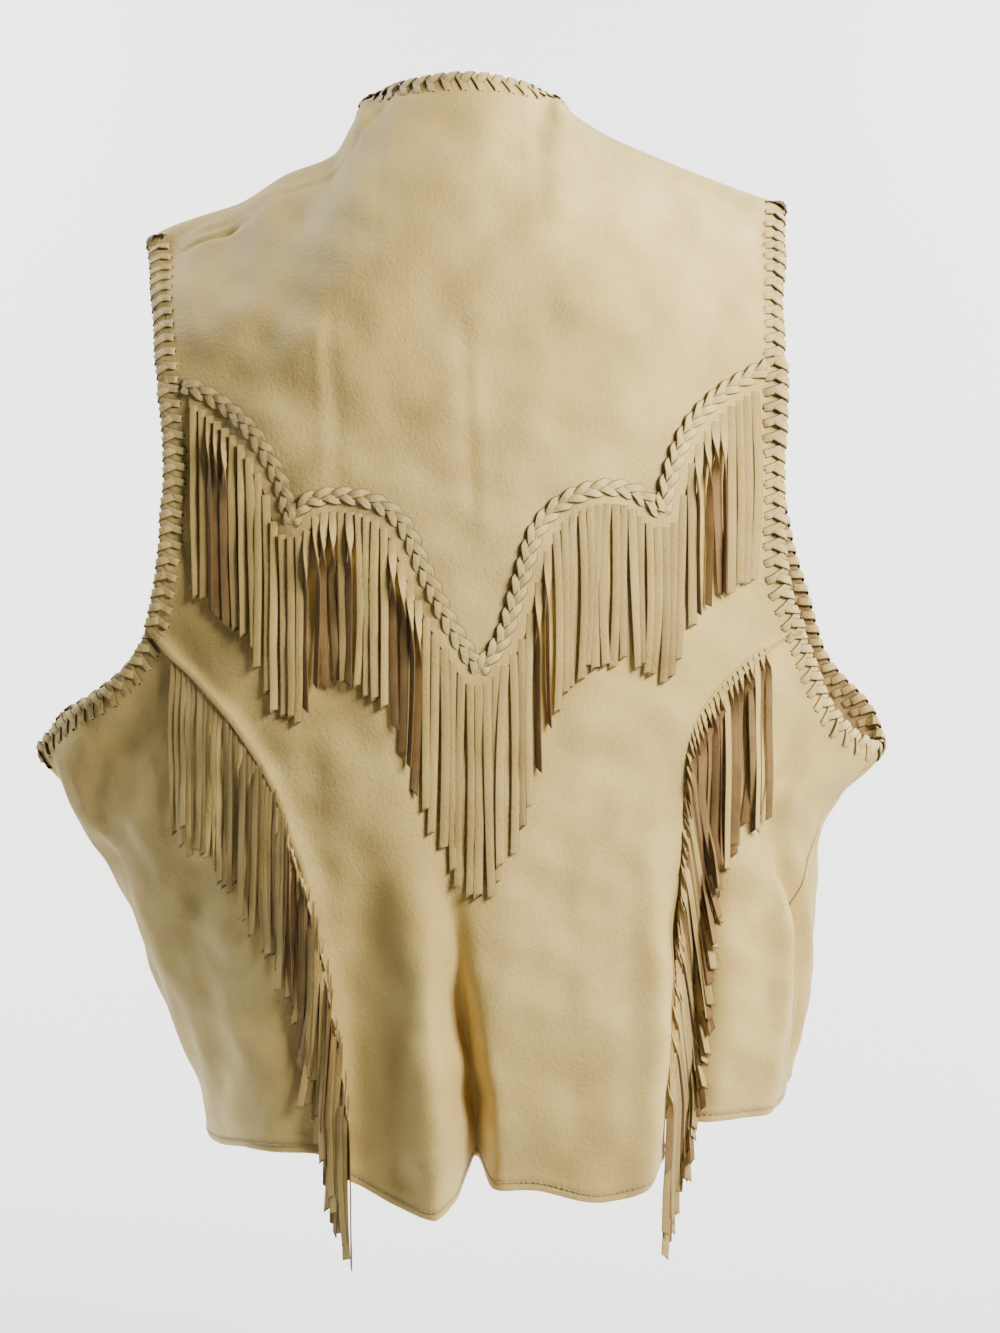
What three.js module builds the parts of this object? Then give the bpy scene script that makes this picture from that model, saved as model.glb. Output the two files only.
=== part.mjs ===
import * as THREE from 'three';

// A fringed western vest in pale soft leather, filled out and hollow, as on its wearer.
// Millimetres, +Z up. The back faces -Y and the wearer's right side is +X. The origin lies
// between the two shoulders, where the vest hangs on them.

// Driving sizes.
const LEATHER = 1.8;
const SEAM_GAP = 0.34;
const HEM_LEVEL = -590;
const HEM_TURN = 9;
const HEM_WALL = 3.2;
const SHOULDER_ROLL = 150;
const SHOULDER_POWER = 0.6;
const NECK_POWER = 0.6;
const SEAM_FLAT = 14;
const NECK_STAND = 50;
const SIDE_DEPTH = 5;
const LACE_REACH = 13;
const LACE_WALL = 1.5;
const LIE_GAP = 0.6;
const BRAID_WIDTH = 10.4;
const BRAID_WALL = 2.2;
const BRAID_STEP = 5.2;
const BRAID_END = 3.5;
const BRAID_TIP = 1.3;
const BRAID_CORNER = 1.5;
const FRINGE_WALL = 1;
const FRINGE_STRIP = 3.2;
const STRAND_WIDTH = 4.5;
const YOKE_STRANDS = 68;
const SEAM_STRANDS = 30;

// Body sections, top to bottom: side outlines, depth at the centre of the back and the
// front, and how leaf-shaped the section is (0 is an ellipse).
const SECTIONS = [
  { z: 120, left: -285, right: 278, back: -106, front: 92, leaf: 0.4 },
  { z: -327, left: -285, right: 278, back: -106, front: 94, leaf: 0.4 },
  { z: -362, left: -268, right: 252, back: -109, front: 97, leaf: 0.3 },
  { z: -383, left: -256, right: 239, back: -111, front: 99, leaf: 0.24 },
  { z: -404, left: -242, right: 235, back: -113, front: 101, leaf: 0.2 },
  { z: -470, left: -213, right: 232, back: -120, front: 107, leaf: 0.1 },
  { z: -520, left: -193, right: 224, back: -126, front: 114, leaf: 0.05 },
  { z: -557, left: -179, right: 215, back: -130, front: 119, leaf: 0 },
  { z: -604, left: -168, right: 203, back: -132, front: 122, leaf: 0 },
];

// Shoulder and neck line from the left shoulder tip to the right one, with the depth of
// the back of the neck behind the shoulder seams.
const TOP_LINE = [
  { x: -213, z: 10, neck: 0 },
  { x: -204, z: 17, neck: 0 },
  { x: -177, z: 27, neck: 0 },
  { x: -152, z: 35, neck: 0 },
  { x: -121, z: 54, neck: 0 },
  { x: -89, z: 67, neck: 0 },
  { x: -76, z: 88, neck: 0 },
  { x: -68, z: 104, neck: 0 },
  { x: -45, z: 106, neck: -31 },
  { x: 0, z: 107, neck: -NECK_STAND },
  { x: 38, z: 106, neck: -32 },
  { x: 59, z: 105, neck: 0 },
  { x: 71, z: 94, neck: 0 },
  { x: 93, z: 80, neck: 0 },
  { x: 120, z: 68, neck: 0 },
  { x: 150, z: 56, neck: 0 },
  { x: 182, z: 44, neck: 0 },
  { x: 211, z: 34, neck: 0 },
];
const NECK_LEFT = -68;
const NECK_RIGHT = 59;

// Hem height across the back and across the front.
const BACK_HEM = [
  { x: -168, z: -588 },
  { x: -130, z: -578 },
  { x: -93, z: -576 },
  { x: -67, z: -588 },
  { x: -42, z: -599 },
  { x: -16, z: -604 },
  { x: -3, z: -597 },
  { x: 4, z: -576 },
  { x: 17, z: -588 },
  { x: 40, z: -587 },
  { x: 82, z: -594 },
  { x: 110, z: -588 },
  { x: 125, z: -571 },
  { x: 139, z: -561 },
  { x: 177, z: -561 },
  { x: 203, z: -553 },
];
const FRONT_HEM = [
  { x: -168, z: -588 },
  { x: -60, z: -586 },
  { x: 17, z: -592 },
  { x: 120, z: -580 },
  { x: 203, z: -553 },
];

// Armhole edges, each from the shoulder tip down to the underarm point.
const ARMHOLES = {
  left: {
    back: [
      { x: -213, z: 10 },
      { x: -207, z: -19 },
      { x: -201, z: -52 },
      { x: -195, z: -98 },
      { x: -191, z: -130 },
      { x: -191, z: -175 },
      { x: -196, z: -225 },
      { x: -208, z: -261 },
      { x: -227, z: -286 },
      { x: -259, z: -303 },
      { x: -280, z: -320 },
      { x: -285, z: -333 },
    ],
    front: [
      { x: -213, z: 10 },
      { x: -207, z: -20 },
      { x: -202, z: -60 },
      { x: -200, z: -110 },
      { x: -203, z: -160 },
      { x: -210, z: -215 },
      { x: -221, z: -251 },
      { x: -238, z: -278 },
      { x: -259, z: -296 },
      { x: -279, z: -312 },
      { x: -285, z: -333 },
    ],
  },
  right: {
    back: [
      { x: 211, z: 34 },
      { x: 208, z: 4 },
      { x: 205, z: -24 },
      { x: 203, z: -70 },
      { x: 202, z: -120 },
      { x: 202, z: -175 },
      { x: 205, z: -223 },
      { x: 220, z: -262 },
      { x: 235, z: -296 },
      { x: 248, z: -313 },
      { x: 266, z: -325 },
      { x: 278, z: -327 },
    ],
    front: [
      { x: 211, z: 34 },
      { x: 208, z: 0 },
      { x: 206, z: -40 },
      { x: 208, z: -90 },
      { x: 214, z: -140 },
      { x: 223, z: -190 },
      { x: 232, z: -222 },
      { x: 243, z: -262 },
      { x: 254, z: -281 },
      { x: 270, z: -300 },
      { x: 278, z: -327 },
    ],
  },
};

// Princess seams of the back, hem to armhole; the last point is where each meets the armhole.
const PRINCESS = {
  left: [
    { x: -68, z: -590 },
    { x: -70, z: -543 },
    { x: -79, z: -484 },
    { x: -89, z: -432 },
    { x: -104, z: -382 },
    { x: -122, z: -341 },
    { x: -142, z: -310 },
    { x: -169, z: -282 },
    { x: -190, z: -265 },
  ],
  right: [
    { x: 121, z: -574 },
    { x: 125, z: -534 },
    { x: 131, z: -468 },
    { x: 136, z: -400 },
    { x: 138, z: -350 },
    { x: 142, z: -318 },
    { x: 155, z: -297 },
    { x: 179, z: -272 },
    { x: 199, z: -258 },
  ],
};
const PRINCESS_TOP = { left: -252, right: -252 };

// Side seams as degrees round the body, where 0 is the centre back and 90 the right side.
const SIDE_SEAMS = {
  left: [
    { z: -590, angle: -92 },
    { z: -440, angle: -91 },
    { z: -360, angle: -90 },
    { z: -333, angle: -90 },
  ],
  right: [
    { z: -555, angle: 74 },
    { z: -495, angle: 69 },
    { z: -430, angle: 70 },
    { z: -380, angle: 77 },
    { z: -345, angle: 85 },
    { z: -327, angle: 90 },
  ],
};

// Centre front, which swings a little to the side towards the hem.
const FRONT_CENTER = [
  { z: 66, x: -4 },
  { z: -330, x: -4 },
  { z: -590, x: 10 },
];

// Front edge from the neck corner to the hem, as its distance from the centre front.
const FRONT_EDGE = [
  { z: 66, out: 68 },
  { z: 20, out: 62 },
  { z: -50, out: 46 },
  { z: -120, out: 30 },
  { z: -180, out: 18 },
  { z: -225, out: 10 },
  { z: -270, out: 8 },
  { z: -400, out: 8 },
];

// Centre line of the braid on the yoke's scalloped edge, one list for each scallop.
const SCALLOPS = [
  [
    { x: -189, z: -96 },
    { x: -174, z: -98 },
    { x: -156, z: -108 },
    { x: -133, z: -128 },
    { x: -118, z: -153 },
    { x: -107, z: -185 },
  ],
  [
    { x: -107, z: -185 },
    { x: -98, z: -173 },
    { x: -78, z: -169 },
    { x: -54, z: -174 },
    { x: -38, z: -187 },
    { x: -24, z: -218 },
    { x: -6, z: -254 },
    { x: 9, z: -277 },
  ],
  [
    { x: 9, z: -277 },
    { x: 23, z: -258 },
    { x: 34, z: -223 },
    { x: 45, z: -190 },
    { x: 61, z: -173 },
    { x: 84, z: -164 },
    { x: 106, z: -166 },
    { x: 123, z: -178 },
  ],
  [
    { x: 123, z: -178 },
    { x: 127, z: -156 },
    { x: 139, z: -127 },
    { x: 158, z: -105 },
    { x: 180, z: -90 },
    { x: 202, z: -78 },
  ],
];

// Length of the yoke fringe across the back.
const YOKE_DROP = [
  { x: -190, length: 126 },
  { x: -130, length: 122 },
  { x: -80, length: 109 },
  { x: -30, length: 120 },
  { x: 9, length: 134 },
  { x: 40, length: 118 },
  { x: 85, length: 104 },
  { x: 125, length: 96 },
  { x: 160, length: 114 },
  { x: 200, length: 128 },
];
const SEAM_DROP = 108;
const SEAM_FRINGE_END = { left: -536, right: -532 };

// Folds that run down the vest. Each follows its own line, and `out` is how far it stands
// out (a valley is negative) once it is fully grown.
const FOLDS = [
  // Back, left of the centre: a ridge that stands over a narrow, deep valley.
  {
    face: 'back', width: 20, out: 17, start: -300, full: -560,
    line: [{ z: -355, x: -34 }, { z: -430, x: -28 }, { z: -505, x: -21 }, { z: -600, x: -15 }],
  },
  {
    face: 'back', width: 9, out: -44, start: -375, full: -585,
    line: [{ z: -355, x: -14 }, { z: -430, x: -8 }, { z: -505, x: -1 }, { z: -600, x: 5 }],
  },
  // Soft swell of the centre back, right of the valley.
  {
    face: 'back', width: 36, out: 8, start: -340, full: -580,
    line: [{ z: -400, x: 74 }, { z: -600, x: 78 }],
  },
  // The centre back stands over the right princess seam.
  {
    face: 'back', width: 15, out: 9, start: -262, full: -470,
    line: [{ z: -262, x: 133 }, { z: -345, x: 129 }, { z: -468, x: 118 }, { z: -600, x: 106 }],
  },
  {
    face: 'back', width: 16, out: -32, start: -285, full: -500,
    line: [{ z: -300, x: 152 }, { z: -400, x: 149 }, { z: -468, x: 144 }, { z: -600, x: 132 }],
  },
  // Right side: an upright crease with a soft edge before it.
  {
    face: 'back', width: 13, out: 5, start: -240, full: -420,
    line: [{ z: -265, x: 198 }, { z: -400, x: 203 }, { z: -480, x: 204 }, { z: -600, x: 178 }],
  },
  {
    face: 'back', width: 17, out: -12, start: -235, full: -420,
    line: [{ z: -265, x: 214 }, { z: -330, x: 216 }, { z: -480, x: 224 }, { z: -600, x: 202 }],
  },
  // Left side of the back: a low swell towards the side.
  {
    face: 'back', width: 30, out: 6, start: -340, full: -560,
    line: [{ z: -380, x: -170 }, { z: -600, x: -120 }],
  },
  // Fronts: two soft folds on each, fuller towards the hem.
  {
    face: 'front', width: 24, out: 11, start: -330, full: -580,
    line: [{ z: -380, x: -90 }, { z: -600, x: -66 }],
  },
  {
    face: 'front', width: 20, out: -11, start: -340, full: -580,
    line: [{ z: -380, x: -150 }, { z: -600, x: -122 }],
  },
  {
    face: 'front', width: 24, out: 12, start: -330, full: -580,
    line: [{ z: -380, x: 92 }, { z: -600, x: 92 }],
  },
  {
    face: 'front', width: 19, out: -12, start: -340, full: -580,
    line: [{ z: -380, x: 150 }, { z: -600, x: 144 }],
  },
];

const DEGREE = Math.PI / 180;
const CHART_SCALE = 4;

function clamp(value, low, high) {
  return Math.min(high, Math.max(low, value));
}

function smooth(value) {
  const t = clamp(value, 0, 1);
  return t * t * (3 - 2 * t);
}

// Reads one column of a table at any place between its rows, smoothly and with no overshoot.
function reading(rows, key, column) {
  const sorted = [...rows].sort((a, b) => a[key] - b[key]);
  const at = sorted.map((row) => row[key]);
  const values = sorted.map((row) => row[column]);
  const last = at.length - 1;
  const slopes = at.slice(1).map((place, k) => (values[k + 1] - values[k]) / (place - at[k]));
  const tangents = at.map((place, k) => {
    if (k === 0) return slopes[0];
    if (k === last) return slopes[last - 1];
    if (slopes[k - 1] * slopes[k] <= 0) return 0;
    return (2 * slopes[k - 1] * slopes[k]) / (slopes[k - 1] + slopes[k]);
  });
  return (wanted) => {
    if (wanted <= at[0]) return values[0];
    if (wanted >= at[last]) return values[last];
    let k = 0;
    while (wanted > at[k + 1]) k += 1;
    const step = at[k + 1] - at[k];
    const t = (wanted - at[k]) / step;
    const keep = 1 - t;
    const start = values[k] * (1 + 2 * t) + tangents[k] * step * t;
    const end = values[k + 1] * (3 - 2 * t) - tangents[k + 1] * step * keep;
    return start * keep * keep + end * t * t;
  };
}

const leftAt = reading(SECTIONS, 'z', 'left');
const rightAt = reading(SECTIONS, 'z', 'right');
const backAt = reading(SECTIONS, 'z', 'back');
const frontAt = reading(SECTIONS, 'z', 'front');
const leafAt = reading(SECTIONS, 'z', 'leaf');
const topAt = reading(TOP_LINE, 'x', 'z');
const neckAt = reading(TOP_LINE, 'x', 'neck');
const backHemAt = reading(BACK_HEM, 'x', 'z');
const frontHemAt = reading(FRONT_HEM, 'x', 'z');
const frontEdgeAt = reading(FRONT_EDGE, 'z', 'out');
const frontCenterAt = reading(FRONT_CENTER, 'z', 'x');

function middleAt(z) {
  return (leftAt(z) + rightAt(z)) / 2;
}

function halfAt(z) {
  return (rightAt(z) - leftAt(z)) / 2;
}

// Degrees round the body of the point that lies at x in the section at height z.
function angleAt(x, z, face) {
  const across = clamp((x - middleAt(z)) / halfAt(z), -1, 1);
  const angle = Math.asin(across) / DEGREE;
  if (face === 'back') return angle;
  return across < 0 ? -180 - angle : 180 - angle;
}

// The section without folds: a leaf or ellipse, drawn in towards the shoulder line at the top.
function plainPoint(angle, z) {
  const across = Math.sin(angle * DEGREE);
  const towards = Math.cos(angle * DEGREE);
  const x = middleAt(z) + halfAt(z) * across;
  const depth = towards > 0 ? backAt(z) : frontAt(z);
  const swell = Math.abs(towards) * (1 - leafAt(z) * across * across);
  const full = SIDE_DEPTH + (depth - SIDE_DEPTH) * swell;
  const drop = clamp((topAt(x) - z) / SHOULDER_ROLL, 0, 1);
  const neck = towards > 0 ? neckAt(x) : 0;
  const power = SHOULDER_POWER + (NECK_POWER * Math.abs(neck)) / NECK_STAND;
  const rise = Math.sin((drop * Math.PI) / 2) ** power;
  return new THREE.Vector3(x, neck + (full - neck) * rise, z);
}

const foldLines = FOLDS.map((fold) => {
  const rows = fold.line.map(({ z, x }) => ({ z, angle: angleAt(x, z, fold.face) }));
  return { ...fold, angleAt: reading(rows, 'z', 'angle') };
});

// How far all the folds together move the leather out at one place.
function foldOut(angle, z) {
  const perDegree = halfAt(z) * DEGREE;
  return foldLines.reduce((sum, fold) => {
    const away = ((angle - fold.angleAt(z)) * perDegree) / fold.width;
    const grown = smooth((fold.start - z) / (fold.start - fold.full));
    return sum + fold.out * grown * Math.exp(-away * away);
  }, 0);
}

// Outer face of the leather at an angle round the body and a height.
function surface(angle, z) {
  const point = plainPoint(angle, z);
  const along = plainPoint(angle + 0.5, z).sub(plainPoint(angle - 0.5, z));
  const outward = new THREE.Vector3(along.y, -along.x, 0).normalize();
  return point.addScaledVector(outward, foldOut(angle, z));
}

// Outward direction of the leather. On the shoulder seams it is upright, so that back and
// front meet edge to edge.
function outwardAt(angle, z) {
  const along = surface(angle + 0.6, z).sub(surface(angle - 0.6, z));
  const up = surface(angle, z + 2).sub(surface(angle, z - 2));
  const outward = along.cross(up).normalize();
  const point = plainPoint(angle, z);
  const drop = topAt(point.x) - z;
  const standing = Math.cos(angle * DEGREE) > 0 ? Math.abs(neckAt(point.x)) / NECK_STAND : 0;
  const keep = Math.max(smooth(drop / SEAM_FLAT), smooth(standing * 2));
  outward.y *= keep;
  return outward.normalize();
}

// A chart point is a Vector2 of the angle round the body and the height.
function chartPoint(row, face) {
  return new THREE.Vector2(angleAt(row.x, row.z, face), row.z);
}

function chartCurve(points) {
  const spread = points.map((point) => new THREE.Vector3(point.x * CHART_SCALE, point.y, 0));
  return new THREE.CatmullRomCurve3(spread, false, 'centripetal');
}

function onCurve(curve, share) {
  const point = curve.getPointAt(clamp(share, 0, 1));
  return new THREE.Vector2(point.x / CHART_SCALE, point.y);
}

// Evenly spaced points of a curve between two shares of its length.
function stretch(curve, from, to, steps) {
  return Array.from({ length: steps + 1 }, (_, k) => onCurve(curve, from + ((to - from) * k) / steps));
}

// Share of a falling curve's length at which it reaches a height.
function shareAtHeight(curve, z) {
  let low = 0;
  let high = 1;
  for (let k = 0; k < 40; k += 1) {
    const middle = (low + high) / 2;
    if (onCurve(curve, middle).y > z) low = middle;
    else high = middle;
  }
  return (low + high) / 2;
}

// A seam from the hem up, with one short row for the turned hem.
function fromHem(curve, rows) {
  const turn = HEM_TURN / curve.getLength();
  const upper = stretch(curve, turn, 1, rows - 1);
  return [onCurve(curve, 0), ...upper];
}

function joined(first, second) {
  return [...first, ...second.slice(1)];
}

// Point of the hem at an angle round the body.
function hemPoint(angle) {
  const x = middleAt(HEM_LEVEL) + halfAt(HEM_LEVEL) * Math.sin(angle * DEGREE);
  const height = Math.cos(angle * DEGREE) > 0 ? backHemAt(x) : frontHemAt(x);
  return new THREE.Vector2(angle, height);
}

// Hem points between two angles, spaced evenly along the folded leather.
function hemBetween(from, to, steps) {
  const fine = 400;
  const lengths = [0];
  let before = surface(from, hemPoint(from).y);
  for (let k = 1; k <= fine; k += 1) {
    const angle = from + ((to - from) * k) / fine;
    const here = surface(angle, hemPoint(angle).y);
    lengths.push(lengths[k - 1] + here.distanceTo(before));
    before = here;
  }
  return Array.from({ length: steps + 1 }, (_, i) => {
    const wanted = (lengths[fine] * i) / steps;
    let k = 0;
    while (k < fine - 1 && lengths[k + 1] < wanted) k += 1;
    const within = (wanted - lengths[k]) / (lengths[k + 1] - lengths[k]);
    return hemPoint(from + ((to - from) * (k + clamp(within, 0, 1))) / fine);
  });
}

// A leather panel between four chart edges. Bottom and top run with the angle, left and
// right run upwards. Its edges stand back by half the seam gap.
function makePanel({ bottom, top, left, right, hem = false }) {
  const columns = bottom.length - 1;
  const rows = left.length - 1;
  const mixed = (i, j, key) => {
    const u = i / columns;
    const v = j / rows;
    const upright = bottom[i][key] * (1 - v) + top[i][key] * v;
    const across = left[j][key] * (1 - u) + right[j][key] * u;
    const low = bottom[0][key] * (1 - u) + bottom[columns][key] * u;
    const high = top[0][key] * (1 - u) + top[columns][key] * u;
    return upright + across - (low * (1 - v) + high * v);
  };
  const outer = [];
  const inner = [];
  const outward = [];
  for (let j = 0; j <= rows; j += 1) {
    const wall = hem && j < 2 ? HEM_WALL : LEATHER;
    const charts = bottom.map((_, i) => [mixed(i, j, 'x'), mixed(i, j, 'y')]);
    outer.push(charts.map(([angle, z]) => surface(angle, z)));
    outward.push(charts.map(([angle, z]) => outwardAt(angle, z)));
    inner.push(outer[j].map((point, i) => point.clone().addScaledVector(outward[j][i], -wall)));
  }
  const standBack = (i, j, toI, toJ) => {
    const inwards = outer[j + toJ][i + toI].clone().sub(outer[j][i]);
    const next = outer[clamp(j + Math.abs(toI), 0, rows)][clamp(i + Math.abs(toJ), 0, columns)];
    const last = outer[clamp(j - Math.abs(toI), 0, rows)][clamp(i - Math.abs(toJ), 0, columns)];
    const along = next.clone().sub(last).normalize();
    inwards.addScaledVector(along, -inwards.dot(along));
    return { i, j, by: inwards.normalize().multiplyScalar(SEAM_GAP / 2) };
  };
  const shifts = [];
  for (let j = 0; j <= rows; j += 1) {
    shifts.push(standBack(0, j, 1, 0), standBack(columns, j, -1, 0));
  }
  for (let i = 0; i <= columns; i += 1) {
    shifts.push(standBack(i, 0, 0, 1), standBack(i, rows, 0, -1));
  }
  shifts.forEach(({ i, j, by }) => {
    outer[j][i].add(by);
    inner[j][i].add(by);
  });
  return { outer, inner, outward, columns, rows };
}

// Gathers the corner points and faces of one closed piece.
class Solid {
  constructor() {
    this.places = [];
    this.faces = [];
  }

  add(point) {
    this.places.push(point.x, point.y, point.z);
    return this.places.length / 3 - 1;
  }

  // A face through three or four corners, all turning the same way over the whole piece.
  face(...corners) {
    for (let k = 2; k < corners.length; k += 1) {
      this.faces.push(corners[0], corners[k - 1], corners[k]);
    }
  }

  volume() {
    const corner = (k) => new THREE.Vector3().fromArray(this.places, this.faces[k] * 3);
    let total = 0;
    for (let k = 0; k < this.faces.length; k += 3) {
      total += corner(k).dot(corner(k + 1).cross(corner(k + 2))) / 6;
    }
    return total;
  }

  mesh(name, material) {
    if (this.volume() < 0) this.faces.reverse();
    const geometry = new THREE.BufferGeometry();
    geometry.setAttribute('position', new THREE.Float32BufferAttribute(this.places, 3));
    geometry.setIndex(this.faces);
    geometry.computeVertexNormals();
    const mesh = new THREE.Mesh(geometry, material);
    mesh.name = name;
    return mesh;
  }
}

// Outer face, inner face and the four cut edges of a panel.
function panelMesh(name, panel, material) {
  const solid = new Solid();
  const { outer, inner, columns, rows } = panel;
  const face = outer.map((row) => row.map((point) => solid.add(point)));
  const lining = inner.map((row) => row.map((point) => solid.add(point)));
  for (let j = 0; j < rows; j += 1) {
    for (let i = 0; i < columns; i += 1) {
      solid.face(face[j][i], face[j][i + 1], face[j + 1][i + 1], face[j + 1][i]);
      solid.face(lining[j][i], lining[j + 1][i], lining[j + 1][i + 1], lining[j][i + 1]);
    }
  }
  for (let i = 0; i < columns; i += 1) {
    solid.face(lining[0][i], lining[0][i + 1], face[0][i + 1], face[0][i]);
    solid.face(lining[rows][i], face[rows][i], face[rows][i + 1], lining[rows][i + 1]);
  }
  for (let j = 0; j < rows; j += 1) {
    solid.face(lining[j][0], face[j][0], face[j + 1][0], lining[j + 1][0]);
    solid.face(lining[j][columns], lining[j + 1][columns], face[j + 1][columns], face[j][columns]);
  }
  return solid.mesh(name, material);
}

// Ways in from each edge of a panel: straight along the grid, and along the cells' diagonals.
const WAYS = {
  left: { straight: [1, 0], diagonal: [1, 1] },
  right: { straight: [-1, 0], diagonal: [-1, -1] },
  top: { straight: [0, -1], diagonal: [-1, -1] },
};

// One rib of a laced edge: the panel's own edge point and a point LACE_REACH in from the
// edge, found along the panel's own grid line so that it lies on its face.
function rib(panel, edgeName, i, j, [toI, toJ]) {
  const { outer, inner, outward } = panel;
  const [sideI, sideJ] = edgeName === 'top' ? [1, 0] : [0, 1];
  const nextAlong = outer[clamp(j + sideJ, 0, panel.rows)][clamp(i + sideI, 0, panel.columns)];
  const lastAlong = outer[clamp(j - sideJ, 0, panel.rows)][clamp(i - sideI, 0, panel.columns)];
  const along = nextAlong.clone().sub(lastAlong).normalize();
  const inwards = outer[j + toJ][i + toI].clone().sub(outer[j][i]).normalize();
  const sine = Math.max(inwards.cross(along).length(), 0.4);
  let atI = i;
  let atJ = j;
  let left = LACE_REACH / sine;
  let step = outer[atJ][atI].distanceTo(outer[atJ + toJ][atI + toI]);
  while (step < left) {
    left -= step;
    atI += toI;
    atJ += toJ;
    step = outer[atJ][atI].distanceTo(outer[atJ + toJ][atI + toI]);
  }
  const within = (grid) => grid[atJ][atI].clone().lerp(grid[atJ + toJ][atI + toI], left / step);
  return {
    edge: outer[j][i],
    edgeIn: inner[j][i],
    edgeOut: outward[j][i],
    far: within(outer),
    farIn: within(inner),
    farOut: within(outward).normalize(),
  };
}

// Whole numbers from one to another, up or down.
function counting(from, to) {
  const step = Math.sign(to - from);
  return Array.from({ length: Math.abs(to - from) + 1 }, (_, k) => from + k * step);
}

// Ribs along a panel's edge between two grid places. A diagonal rib stands between each two
// straight ones, so that the lacing follows the panel's own facets.
function edgeRibs(panel, edgeName, from, to) {
  const { straight, diagonal } = WAYS[edgeName];
  const rising = to >= from;
  const low = Math.min(from, to);
  const high = Math.max(from, to);
  const ribs = [];
  counting(low, high).forEach((k) => {
    const i = { left: 0, right: panel.columns, top: k }[edgeName];
    const j = edgeName === 'top' ? panel.rows : k;
    const plain = rib(panel, edgeName, i, j, straight);
    if (edgeName === 'left') {
      ribs.push(plain);
      if (k < high) ribs.push(rib(panel, edgeName, i, j, diagonal));
    } else {
      if (k > low) ribs.push(rib(panel, edgeName, i, j, diagonal));
      ribs.push(plain);
    }
  });
  return rising ? ribs : ribs.reverse();
}

// The six corners of the lacing at a rib: a lace folded over the edge, thin at its two feet.
function lacingRing({ edge, edgeIn, edgeOut, far, farIn, farOut, upright = false }) {
  const away = upright ? new THREE.Vector3(0, 0, 1) : edge.clone().sub(far).normalize();
  const moved = (point, direction, lift, past) =>
    point.clone().addScaledVector(direction, lift).addScaledVector(away, past);
  const top = LIE_GAP + LACE_WALL;
  const foot = 2 * LIE_GAP;
  return [
    moved(far, farOut, foot, 0),
    moved(edge, edgeOut, top, top),
    moved(edgeIn, edgeOut, -top, top),
    moved(farIn, farOut, -foot, 0),
    moved(edgeIn, edgeOut, -LIE_GAP, LIE_GAP),
    moved(edge, edgeOut, LIE_GAP, LIE_GAP),
  ];
}

const LACING_CAP = [[0, 1, 5], [1, 2, 4, 5], [2, 3, 4]];
const BRAID_CAP = [[0, 1, 2, 3]];

// A bar carried through rings of corners, closed into a loop or capped at its two ends.
function barMesh(name, rings, cap, material) {
  const solid = new Solid();
  const corners = rings.map((ring) => ring.map((point) => solid.add(point)));
  const spans = cap ? corners.length - 1 : corners.length;
  for (let k = 0; k < spans; k += 1) {
    const here = corners[k];
    const next = corners[(k + 1) % corners.length];
    here.forEach((corner, c) => {
      const d = (c + 1) % here.length;
      solid.face(corner, here[d], next[d], next[c]);
    });
  }
  if (cap) {
    cap.forEach((face) => solid.face(...face.map((c) => corners[0][c]).reverse()));
    cap.forEach((face) => solid.face(...face.map((c) => corners[spans][c])));
  }
  return solid.mesh(name, material);
}

// A small repeatable run of numbers between -1 and 1, for the unevenness of the strands.
function unevenness(seed) {
  let state = seed;
  return () => {
    state = (state * 48271) % 2147483647;
    return (2 * state) / 2147483647 - 1;
  };
}

// A comb of strands under a strip. Every strand has two stations on the strip, left and
// right, and then levels of four corners: back left, back right, front right, front left.
function fringeMesh(name, stations, strands, material) {
  const solid = new Solid();
  const topBack = stations.map(({ top, out, lift }) => solid.add(top.clone().addScaledVector(out, lift)));
  const topFront = stations.map(({ top, out, lift }) =>
    solid.add(top.clone().addScaledVector(out, lift + FRINGE_WALL)));
  const lowBack = stations.map(({ low, out, lift }) => solid.add(low.clone().addScaledVector(out, lift)));
  const lowFront = stations.map(({ low, out, lift }) =>
    solid.add(low.clone().addScaledVector(out, lift + FRINGE_WALL)));
  const last = stations.length - 1;
  for (let k = 0; k < last; k += 1) {
    solid.face(lowFront[k], lowFront[k + 1], topFront[k + 1], topFront[k]);
    solid.face(lowBack[k + 1], lowBack[k], topBack[k], topBack[k + 1]);
    solid.face(topFront[k], topFront[k + 1], topBack[k + 1], topBack[k]);
    if (k % 2 === 1) solid.face(lowBack[k], lowBack[k + 1], lowFront[k + 1], lowFront[k]);
  }
  solid.face(lowBack[0], lowFront[0], topFront[0], topBack[0]);
  solid.face(lowFront[last], lowBack[last], topBack[last], topFront[last]);
  strands.forEach((levels, s) => {
    const left = 2 * s;
    const right = left + 1;
    let above = [lowBack[left], lowBack[right], lowFront[right], lowFront[left]];
    levels.forEach((corners) => {
      const below = corners.map((corner) => solid.add(corner));
      above.forEach((corner, c) => {
        const d = (c + 1) % above.length;
        const side = [corner, above[d], below[d], below[c]];
        // The four sides are split one way round, so that they stay apart on a turned strand.
        if (c === 0 || c === 3) side.push(side.shift());
        solid.face(...side);
      });
      above = below;
    });
    solid.face(...above);
  });
  return solid.mesh(name, material);
}

// Chart curves of the edges and seams.
const SEAM_ROWS = 9;
const CENTER_UPPER_ROWS = 4;
const YOKE_ROWS = 6;
const FRONT_UPPER_ROWS = 14;
const SHOULDER_STEPS = 8;
const NECK_STEPS = 20;
const SCALLOP_STEPS = [8, 10, 10, 8];
const SIDE_COLUMNS = 6;
const VALLEY_COLUMNS = 11;
const CENTER_SPLIT = -330;
const FRONT_LOWER = [-540, -470, -400];

function armholeCurve(side, face) {
  return chartCurve(ARMHOLES[side][face].map((row) => chartPoint(row, face)));
}

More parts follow.
